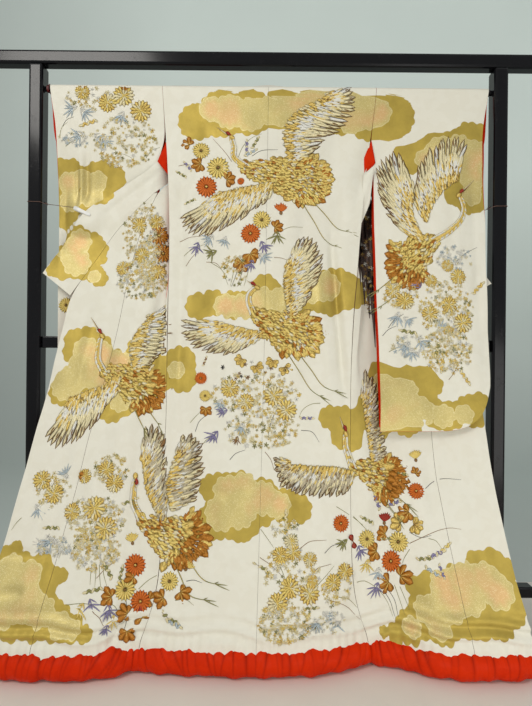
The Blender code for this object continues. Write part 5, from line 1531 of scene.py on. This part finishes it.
flecks = (
    # cloth, threads, then each field of sprays as (x, z, half width, half height, count), in mm
    # the dark sprays here are the front's motif in shade behind the back panel's edge: painted shade
    ("frontLeft", "dark", ((-328, 1170, 22, 80, 150),)),
    ("back", "mixed", ((-31, 723, 135, 59, 330), (-9, 618, 109, 52, 260))),
    ("frontLeft", "mixed", ((-465, 377, 82, 60, 300), (-456, 299, 65, 49, 260), (-432, 511, 51, 40, 110))),
    ("back", "mixed", ((59, 135, 73, 47, 320), (76, 255, 81, 59, 160), (197, 205, 43, 38, 90))),
    ("sleeveLeft", "mixed", ((-449, 1498, 100, 82, 330), (-560, 1635, 75, 38, 80))),
    ("frontLeft", "mixed", (
        (-383, 1200, 68, 105, 300), (-386, 1059, 79, 61, 260), (-358, 1115, 55, 73, 200),
    )),
    ("sleeveRight", "mixed", ((549, 975, 85, 91, 340), (542, 854, 77, 71, 330))),
    ("sleeveRight", "silver", ((578, 1138, 61, 37, 90),)),
    ("sleeveRight", "mixed", ((406, 1023, 55, 43, 110),)),
    ("frontLeft", "mixed", ((-593, 452, 50, 45, 90),)),
    ("back", "mixed", ((60, 358, 39, 28, 50),)),
    # the dark sprays here are the front's motif in shade in the gap below the armhole: painted shade
    ("frontRight", "dark", ((323, 1154, 22, 196, 420),)),
    ("back", "mixed", ((-100, 1093, 43, 49, 60),)),
    ("back", "dark", ((-41, 784, 100, 30, 70),)),
    ("frontLeft", "silver", ((-573, 308, 49, 27, 90),)),
    ("back", "silver", ((171, 131, 48, 26, 70),)),
    ("sleeveLeft", "silver", ((-590, 1503, 69, 25, 50),)),
    ("sleeveRight", "silver", ((429, 865, 60, 36, 70),)),
)
grasses = (
    # cloth, then the places along each thin stem or blade of grass, in mm
    ("back", (
        ((-174, 1117), (-137, 1092), (-118, 1046)), ((-82, 1118), (-94, 1077), (-108, 1040)),
        ((-64, 1118), (-79, 1074), (-90, 1040)), ((-52, 1118), (-60, 1074), (-69, 1043)),
        ((-98, 1118), (-103, 1080), (-111, 1043)), ((-269, 1180), (-238, 1192), (-201, 1196)),
        ((-255, 1136), (-231, 1154), (-188, 1173)), ((-277, 1418), (-249, 1422), (-227, 1415)),
        ((-248, 1104), (-230, 1129), (-206, 1154)), ((40, 1214), (70, 1227), (110, 1230)),
        ((22, 1131), (46, 1129), (65, 1122)), ((-94, 1443), (-78, 1482), (-50, 1510), (-19, 1523)),
        ((-112, 1433), (-137, 1467), (-172, 1508)), ((-50, 1449), (-19, 1468), (31, 1475)),
        ((-186, 1117), (-156, 1114), (-137, 1092)), ((159, 696), (133, 693), (109, 678), (97, 655)),
        ((103, 619), (135, 614), (155, 586)), ((-99, 538), (-83, 554), (-57, 563)),
        ((0, 558), (17, 536), (26, 509)), ((-218, 636), (-201, 655), (-181, 673)),
        ((-202, 611), (-192, 639), (-167, 661)), ((-178, 578), (-164, 592), (-141, 600)),
        ((-17, 367), (8, 335), (27, 310)), ((98, 311), (126, 329), (170, 331)),
        ((164, 299), (186, 315), (214, 317)), ((-11, 288), (22, 266), (49, 244)),
        ((140, 220), (162, 240), (190, 266)), ((130, 251), (146, 265), (182, 271)),
    )),
    ("frontLeft", (
        ((-671, 378), (-683, 365), (-694, 347)), ((-446, 235), (-425, 257), (-394, 277)),
        ((-336, 202), (-311, 224), (-264, 252)), ((-515, 178), (-484, 181), (-440, 174)),
        ((-446, 162), (-430, 147), (-413, 129)), ((-409, 176), (-393, 166), (-382, 143)),
    )),
    ("back", (((-235, 182), (-206, 183), (-184, 170)), ((-208, 225), (-187, 229), (-165, 223)))),
    ("frontRight", (
        ((462, 455), (507, 479), (567, 480)), ((408, 310), (460, 337), (513, 354), (551, 352)),
        ((410, 338), (438, 328), (467, 335)), ((459, 327), (479, 321), (491, 304)),
        ((323, 436), (351, 406), (377, 375)),
    )),
    ("back frontRight", (((200, 415), (239, 390), (275, 363)),)),
    ("frontRight", (
        ((254, 216), (279, 218), (311, 198), (338, 164), (352, 126)), ((328, 192), (346, 165), (357, 127)),
        ((339, 197), (359, 166), (365, 131)), ((361, 203), (372, 170), (382, 137)),
        ((376, 199), (387, 172), (395, 150)), ((407, 295), (392, 272), (386, 257)),
    )),
    ("back frontRight", (((197, 190), (230, 177), (261, 143)),)),
    ("back", (((169, 187), (218, 164), (263, 121)),)),
    ("frontRight", (((248, 387), (281, 355), (300, 339)),)),
    ("sleeveLeft", (
        ((-644, 1546), (-632, 1565), (-610, 1575)), ((-635, 1482), (-619, 1493), (-600, 1503)),
        ((-653, 1515), (-647, 1540), (-628, 1559)), ((-489, 1441), (-461, 1460), (-427, 1448)),
        ((-383, 1448), (-364, 1474), (-339, 1483)),
    )),
    ("sleeveRight", (
        ((366, 919), (385, 943), (415, 962)), ((347, 894), (365, 913), (390, 925)),
        ((363, 847), (387, 859), (418, 877)), ((578, 1125), (614, 1154), (653, 1175)),
        ((542, 766), (561, 789), (582, 825)),
    )),
    ("frontLeft", (
        ((-450, 268), (-449, 245), (-448, 215)), ((-442, 268), (-439, 242), (-433, 214)),
        ((-432, 267), (-429, 244), (-418, 215)), ((-462, 269), (-462, 243), (-461, 220)),
    )),
    ("back", (
        ((28, 669), (14, 632), (8, 591)), ((57, 647), (54, 613), (51, 572)),
        ((35, 280), (54, 244), (70, 186)),
    )),
    ("frontLeft", (((-368, 173), (-363, 136), (-365, 95)),)),
)
fleckThreads = {
    "mixed": ("paleGold", "paleGold", "paleGold", "gold", "yellow", "leafGreen", "silver", "paleGold",
              "yellow", "paleGold", "silver", "gold"),
    "silver": ("silver", "paleBlue", "silver", "paleGold"),
    "dark": ("bronze", "ink", "bronze", "gold", "bronze", "silver"),
}


def makeFlower(x, z, radius, kind, on, own):
    petal, ground, heart, count = flowerLooks[kind]
    shape = flowerShape
    first = own.uniform(0, 6.28)
    wide = fullTurn * radius / count
    for k in range(count * 2):  # petals over a closed ring of ground threads
        angle = first + fullTurn / 2 * (k + 0.5) / count
        near = radius * (shape["near"] if k % 2 else shape["groundNear"])
        place = (x + math.cos(angle) * near, z + math.sin(angle) * near)
        if k % 2:
            lit = own.choice(("gold", "paleGold", "yellow", "gold")) if kind == "gold" else petal
            length = radius * own.uniform(0.88, 0.95)
            stitch("flower", lit, "petal", *place, angle, length, wide * shape["wide"], 0.0011, on)
        else:
            long, broad = radius * shape["ground"][0], wide * shape["ground"][1]
            stitch("flower", ground, "petal", *place, angle, long, broad, 0.0004, on, 0.0003)
    if kind in ("gold", "paleGold"):
        long, broad = (radius * share for share in shape["inner"])
        for k in range(shape["innerPetals"]):
            angle = first + 0.3 + fullTurn * k / shape["innerPetals"]
            lit = own.choice(("paleGold", "yellow", "gold"))
            stitch("flower", lit, "petal", x, z, angle, long, broad, 0.0018, on)
    size = radius * shape["heart"]
    stitch("flower", heart, "round", x, z, 0.0, size, size, 0.0020, on, 0.0010)


def makeBamboo(x, z, size, thread, heading, on, own):
    for k in range(6):
        angle = heading + (k - 2.5) * 0.42 + own.uniform(-0.12, 0.12)
        length = size * own.uniform(0.85, 1.35)
        stitch("leaf", thread, "leaf", x, z, angle, length, size * 0.17, 0.0008, on, 0.0009)
    back = (x - math.cos(heading) * size * 0.5, z - math.sin(heading) * size * 0.5)
    lit = "silver" if thread == "paleBlue" else thread
    for k in range(3):
        angle = heading + (k - 1) * 0.6 + own.uniform(-0.2, 0.2)
        stitch("leaf", lit, "leaf", *back, angle, size * own.uniform(0.6, 0.9), size * 0.14, 0.0012, on)


def makeLobed(x, z, size, thread, heading, on, own):
    size *= 1.35
    thread, vein = ("rust", "gold") if thread == "bronze" else (thread, "bronze")
    for k in range(5):
        angle = heading + (k - 2) * 0.72
        length = size * (1.1 if k in (1, 2, 3) else 0.8) * own.uniform(0.9, 1.1)
        stitch("leaf", thread, "petal", x, z, angle, length, size * 0.62, 0.0005, on, 0.0006)
        stitch("leaf", vein, "leaf", x, z, angle, length * 0.8, size * 0.07, 0.0011, on, 0.0004)


def makeSprig(x, z, size, thread, heading, on, own):
    end = (x + math.cos(heading) * size * 2.0, z + math.sin(heading) * size * 2.0)
    blade("leaf", "bronze", ((x, z), end), ((0, 0.0012), (1, 0.0008)), 0.0005, on, 0.0004, 6)
    for k in range(7):
        share = (k + 0.5) / 7
        angle = heading + (0.9 if k % 2 else -0.9) * (1 if k < 6 else 0)
        place = (x + (end[0] - x) * share, z + (end[1] - z) * share)
        lit = thread if k % 3 else "paleGold"
        stitch("leaf", lit, "round", *place, angle, size * 0.62, size * 0.30, 0.0008, on, 0.0009)


def makeBud(x, z, size, thread, heading, on, own):
    for k in range(7):
        angle = heading + (k - 3) * 0.26
        length = size * own.uniform(1.1, 1.3)
        stitch("leaf", thread, "petal", x, z, angle, length, size * 0.30, 0.0008, on, 0.0011)
    base = (x - math.cos(heading) * size * 0.1, z - math.sin(heading) * size * 0.1)
    stitch("leaf", "bronze", "round", *base, heading, size * 0.5, size * 0.4, 0.0012, on, 0.0012)


def makeFlecks(x, z, wide, high, count, threads, on, own):
    # little sprays of five, as small blossoms and leaves are worked
    for _ in range(int(count * (0.70 if threads != "dark" else 0.25))):
        angle, reach = own.uniform(0, fullTurn), math.sqrt(own.random())
        place = (x + math.cos(angle) * reach * wide, z + math.sin(angle) * reach * high)
        first, thread = own.uniform(0, fullTurn), own.choice(fleckThreads[threads])
        size = own.uniform(0.0045, 0.0085)
        for number in range(5):
            angle = first + number * 1.2566 + own.uniform(-0.2, 0.2)
            stitch("fleck", thread, "fleck", *place, angle, size, size * 0.42, 0.0005 + 0.0001 * number, on,
                   0.0006)


leafMakers = {"bamboo": makeBamboo, "lobed": makeLobed, "sprig": makeSprig, "bud": makeBud}
# dark umber strips on the right front below the armhole: the motif there, darkened as painted shade where it
# lies deep behind the back
gapShadePanel = {"top": 1.375, "middle": 1.16, "wide": 0.015,
              # across, and where it ends
              "strips": ((0.291, 1.04), (0.304, 0.99), (0.317, 0.95), (0.330, 0.86), (0.343, 0.74))}
own = random.Random(7)
for on, kind, group in flowers:
    for x, z, radius in metres(group):
        makeFlower(x, z, radius, kind, on, own)
for on, kind, group in leaves:
    for x, z, size, thread, heading in group:
        leafMakers[kind](*metres((x, z, size)), thread, math.radians(heading), on, own)
for on, threads, group in flecks:
    for x, z, wide, high, count in group:
        makeFlecks(*metres((x, z, wide, high)), count, threads, on, own)
# the dark strips are painted shade over the gap's motif
for across, low in gapShadePanel["strips"]:
    path = ((across, gapShadePanel["top"]), (across + 0.001, gapShadePanel["middle"]), (across + 0.002, low))
    widths = ((0, gapShadePanel["wide"]), (0.7, gapShadePanel["wide"]), (1, 0.002))
    blade("panel", "umber", path, widths, 0.0006, "frontRight", 0.0002, 60)
for on, group in grasses:
    for path in metres(group):
        thread = own.choice(("leafGreen", "ink", "leafGreen", "bronze"))
        blade("grass", thread, path, ((0, 0.0016), (0.6, 0.0013), (1, 0.0007)), 0.0004, on, 0.0005, 14)
sewStitches(stitchTree())
sewBlades()
print("needlework", sum(len(rows) for rows in stitches.values()), "stitches")


# cords and clips

ties = {
    # the clips hold the spread fronts and their cords go round the posts; places are out, forward and up
    "left": {"side": -1, "handle": (0.6000, 0.0337, 1.2849), "along": (-0.9084, 0.0450, -0.4158),
             "across": (0.4182, 0.0959, -0.9033), "outwards": (0.0007, 0.9944, 0.1059),
             "middle": (0.688, 0.022, 1.2985)},
    "right": {"side": 1, "handle": (0.6000, -0.0098, 1.2848), "along": (-0.9085, 0.0507, -0.4149),
              "across": (0.4179, 0.1020, -0.9027), "outwards": (0.0035, 0.9935, 0.1138),
              "middle": (0.688, 0.002, 1.2985)},
}
cordLooks = {"radius": 0.0010, "strands": 3, "strand": 0.00064, "twist": 0.0090, "sides": 6, "stations": 260,
             "start": 0.0016, "post": 0.7265, "halfOut": 0.0236, "halfDeep": 0.0291, "rounding": 0.0096,
             "height": 1.3020, "climb": 0.0005}
clipLooks = {
    # along the clip: place, half width, share of the jaw's thickness
    "stations": ((0.0, 0.0036, 0.45), (0.0012, 0.0052, 0.80), (0.0040, 0.0062, 1.0), (0.0120, 0.0064, 1.0),
                 (0.0240, 0.0056, 1.0), (0.0300, 0.0054, 1.0), (0.0400, 0.0053, 0.86), (0.0520, 0.0049, 0.66),
                 (0.0562, 0.0043, 0.56), (0.0577, 0.0030, 0.40)),
    "around": 16, "jaw": 0.0036, "slot": (-0.0032, 0.0010), "pivot": 0.0265, "pin": 0.0019, "pinHalf": 0.0050,
    "wire": 0.00045, "turns": 5, "coilHalf": 0.0040,
    "ribs": 5, "firstRib": 0.0035, "ribStep": 0.0022, "ribHalf": 0.0052, "rib": 0.0005,
}


def inFrame(side, place):
    return Vector((side * place[0], rodPlane - place[1], place[2]))


def cordRoute(tie):
    # from the handle of the clip to the post and once round it
    looks = cordLooks
    rounding = looks["rounding"]
    out, deep = looks["halfOut"] - rounding, looks["halfDeep"] - rounding
    start = np.array(tie["handle"]) - np.array(tie["along"]) * looks["start"]
    route = [tuple(start), tie["middle"]]
    height = looks["height"]
    for right, front, angle in ((-1, 1, 180), (1, 1, 90), (1, -1, 0), (-1, -1, -90)):
        for turn in (0, -30, -60, -90):
            at = math.radians(angle + turn)
            height += looks["climb"]
            route.append((looks["post"] + right * out + rounding * math.cos(at),
                          front * deep + rounding * math.sin(at), height))
        ahead = math.radians(angle - 180)
        straight = deep if abs(math.cos(ahead)) < 0.5 else out
        run = np.array([math.cos(ahead), math.sin(ahead), 0.0])
        route.append(tuple(np.array(route[-1]) + straight * run))
    return np.array([inFrame(tie["side"], place) for place in route])


def smoothRoute(places, count):
    # a centripetal curve through the places, in even steps
    ends = np.vstack([2 * places[0] - places[1], places, 2 * places[-1] - places[-2]])
    fine = []
    for a, b, c, d in zip(ends, ends[1:], ends[2:], ends[3:]):
        pairs = ((a, b), (b, c), (c, d))
        knots = np.cumsum([0] + [max(float(np.linalg.norm(q - p)), 1e-6) ** 0.5 for p, q in pairs])
        for t in np.linspace(knots[1], knots[2], 24, endpoint=False):
            near = [((knots[k + 1] - t) * p + (t - knots[k]) * q) / (knots[k + 1] - knots[k])
                    for k, (p, q) in enumerate(pairs)]
            mid = [((knots[k + 2] - t) * near[k] + (t - knots[k]) * near[k + 1]) / (knots[k + 2] - knots[k])
                   for k in (0, 1)]
            fine.append(((knots[2] - t) * mid[0] + (t - knots[1]) * mid[1]) / (knots[2] - knots[1]))
    fine = np.array(fine + [places[-1]])
    run = np.concatenate([[0], np.cumsum(np.linalg.norm(np.diff(fine, axis=0), axis=1))])
    wanted = np.linspace(0, run[-1], count)
    return np.stack([np.interp(wanted, run, fine[:, k]) for k in range(3)], axis=1), float(run[-1])


def carriedFrames(line):
    # directions across the line that turn as little as they can
    steps = np.gradient(line, axis=0)
    steps /= np.linalg.norm(steps, axis=1)[:, None]
    first = np.cross(steps[0], (0.0, 0.0, 1.0))
    frames = []
    for step in steps:
        first = first - step * np.dot(first, step)
        first /= np.linalg.norm(first)
        frames.append((first, np.cross(step, first)))
    return frames


def sweep(line, radius, sides, points, faces, uvs):
    start = len(points)
    for k, (place, (one, two)) in enumerate(zip(line, carriedFrames(line))):
        for side in range(sides):
            angle = fullTurn * side / sides
            points.append(place + radius * (math.cos(angle) * one + math.sin(angle) * two))
            uvs.append((k * 0.1, side / sides))
    faces += tubeFaces(start, len(line), sides)


def makeCord(label, tie):
    looks = cordLooks
    line, length = smoothRoute(cordRoute(tie), looks["stations"])
    frames = carriedFrames(line)
    points, faces, uvs = [], [], []
    for strand in range(looks["strands"]):
        turned = []
        for k, (place, (one, two)) in enumerate(zip(line, frames)):
            run = k / (looks["stations"] - 1) * length
            angle = fullTurn * (strand / looks["strands"] + run / looks["twist"])
            aside = math.cos(angle) * one + math.sin(angle) * two
            turned.append(place + (looks["radius"] - looks["strand"]) * aside)
        sweep(np.array(turned), looks["strand"], looks["sides"], points, faces, uvs)
    name = "twistedCord" + raised(label)
    made = facedOut(newObject(name, meshFrom(name, points, faces, uvs), "cord"))
    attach(made, "root")
    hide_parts("cord_" + label)
    tuple(line[0])
    [tuple(place) for place in line]
    print("cord", label, round(length, 4))


def makeJaws(placed, points, faces, uvs):
    # two rounded bars: squarish rings across each arm of the clip
    looks = clipLooks
    around = looks["around"]
    for edge, way in zip(looks["slot"], (-1, 1)):
        start = len(points)
        for u, half, thin in looks["stations"]:
            deep = looks["jaw"] * thin
            for k in range(around):
                angle = fullTurn * k / around
                c, s = (math.copysign(abs(f) ** 0.5, f) for f in (math.cos(angle), math.sin(angle)))
                points.append(placed(u, half * c, edge + way * deep * (0.5 + 0.5 * s)))
                uvs.append((u * 20, k / around))
        faces += tubeFaces(start, len(looks["stations"]), around)


def makeClip(label, tie):
    looks = clipLooks
    handle, along = np.array(tie["handle"]), np.array(tie["along"])
    across, outwards = np.array(tie["across"]), np.array(tie["outwards"])

    def placed(u, v, w):
        return inFrame(tie["side"], handle + along * u + across * v + outwards * w)

    points, faces, uvs = [], [], []
    makeJaws(placed, points, faces, uvs)
    for rib in range(looks["ribs"]):  # thumb ribs on both outer faces of the handle
        for edge, way in zip(looks["slot"], (-1, 1)):
            u, w = looks["firstRib"] + looks["ribStep"] * rib, edge + way * looks["jaw"]
            line = [placed(u, v, w) for v in np.linspace(-looks["ribHalf"], looks["ribHalf"], 5)]
            sweep(np.array(line), looks["rib"], 6, points, faces, uvs)
    centre = sum(looks["slot"]) / 2
    pin = [placed(looks["pivot"], v, centre) for v in np.linspace(-looks["pinHalf"], looks["pinHalf"], 6)]
    sweep(np.array(pin), looks["pin"], 12, points, faces, uvs)
    name = "peg" + raised(label)
    made = facedOut(newObject(name, meshFrom(name, points, faces, uvs), "clip"))
    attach(made, "root")
    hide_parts("clip_" + label)
    points, faces, uvs = [], [], []
    coil, steps = [], looks["turns"] * 16
    reach = looks["pin"] + looks["wire"] * 0.9
    for k in range(steps + 1):
        angle = fullTurn * k / 16
        coil.append(placed(looks["pivot"] + reach * math.cos(angle), looks["coilHalf"] * (2 * k / steps - 1),
                           centre + reach * math.sin(angle)))
    sweep(np.array(coil), looks["wire"], 6, points, faces, uvs)
    name = "spring" + raised(label)
    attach(facedOut(newObject(name, meshFrom(name, points, faces, uvs), "steel")), "root")


for label, tie in ties.items():
    makeCord(label, tie)
    makeClip(label, tie)
print("cords and clips done")


# rack

rackLooks = {"post_left": "lacquer", "post_right": "lacquer", "top_rail": "lacquer", "middle_rail": "lacquer",
             "lower_rail": "lacquer", "foot_left": "lacquer", "foot_right": "lacquer", "rod": "lacquer",
             "rod_cap": "cap"}
for name, look in rackLooks.items():
    for place in nodes[name].material_slots:
        place.link = "OBJECT"
        place.material = materials[look]


# floor and wall

def makeRoom():
    side, near, bend = room["side"], room["paperStarts"], room["bend"]
    corners = [(-side, -side, 0), (side, -side, 0), (side, near, 0), (-side, near, 0)]
    newObject("floor", meshFrom("floor", corners, [(0, 1, 2, 3)]), "floor")
    profile = [(near, 0.0)]
    for k in range(room["bendSteps"] + 1):
        angle = math.pi / 2 * k / room["bendSteps"]
        profile.append((room["bendStarts"] + bend * math.sin(angle), bend * (1 - math.cos(angle))))
    profile.append((room["bendStarts"] + bend, room["high"]))
    points = [(x, y, z) for y, z in profile for x in (-side, side)]
    faces = [(2 * k, 2 * k + 1, 2 * k + 3, 2 * k + 2) for k in range(len(profile) - 1)]
    newObject("wall", meshFrom("wall", points, faces), "wall")


makeRoom()
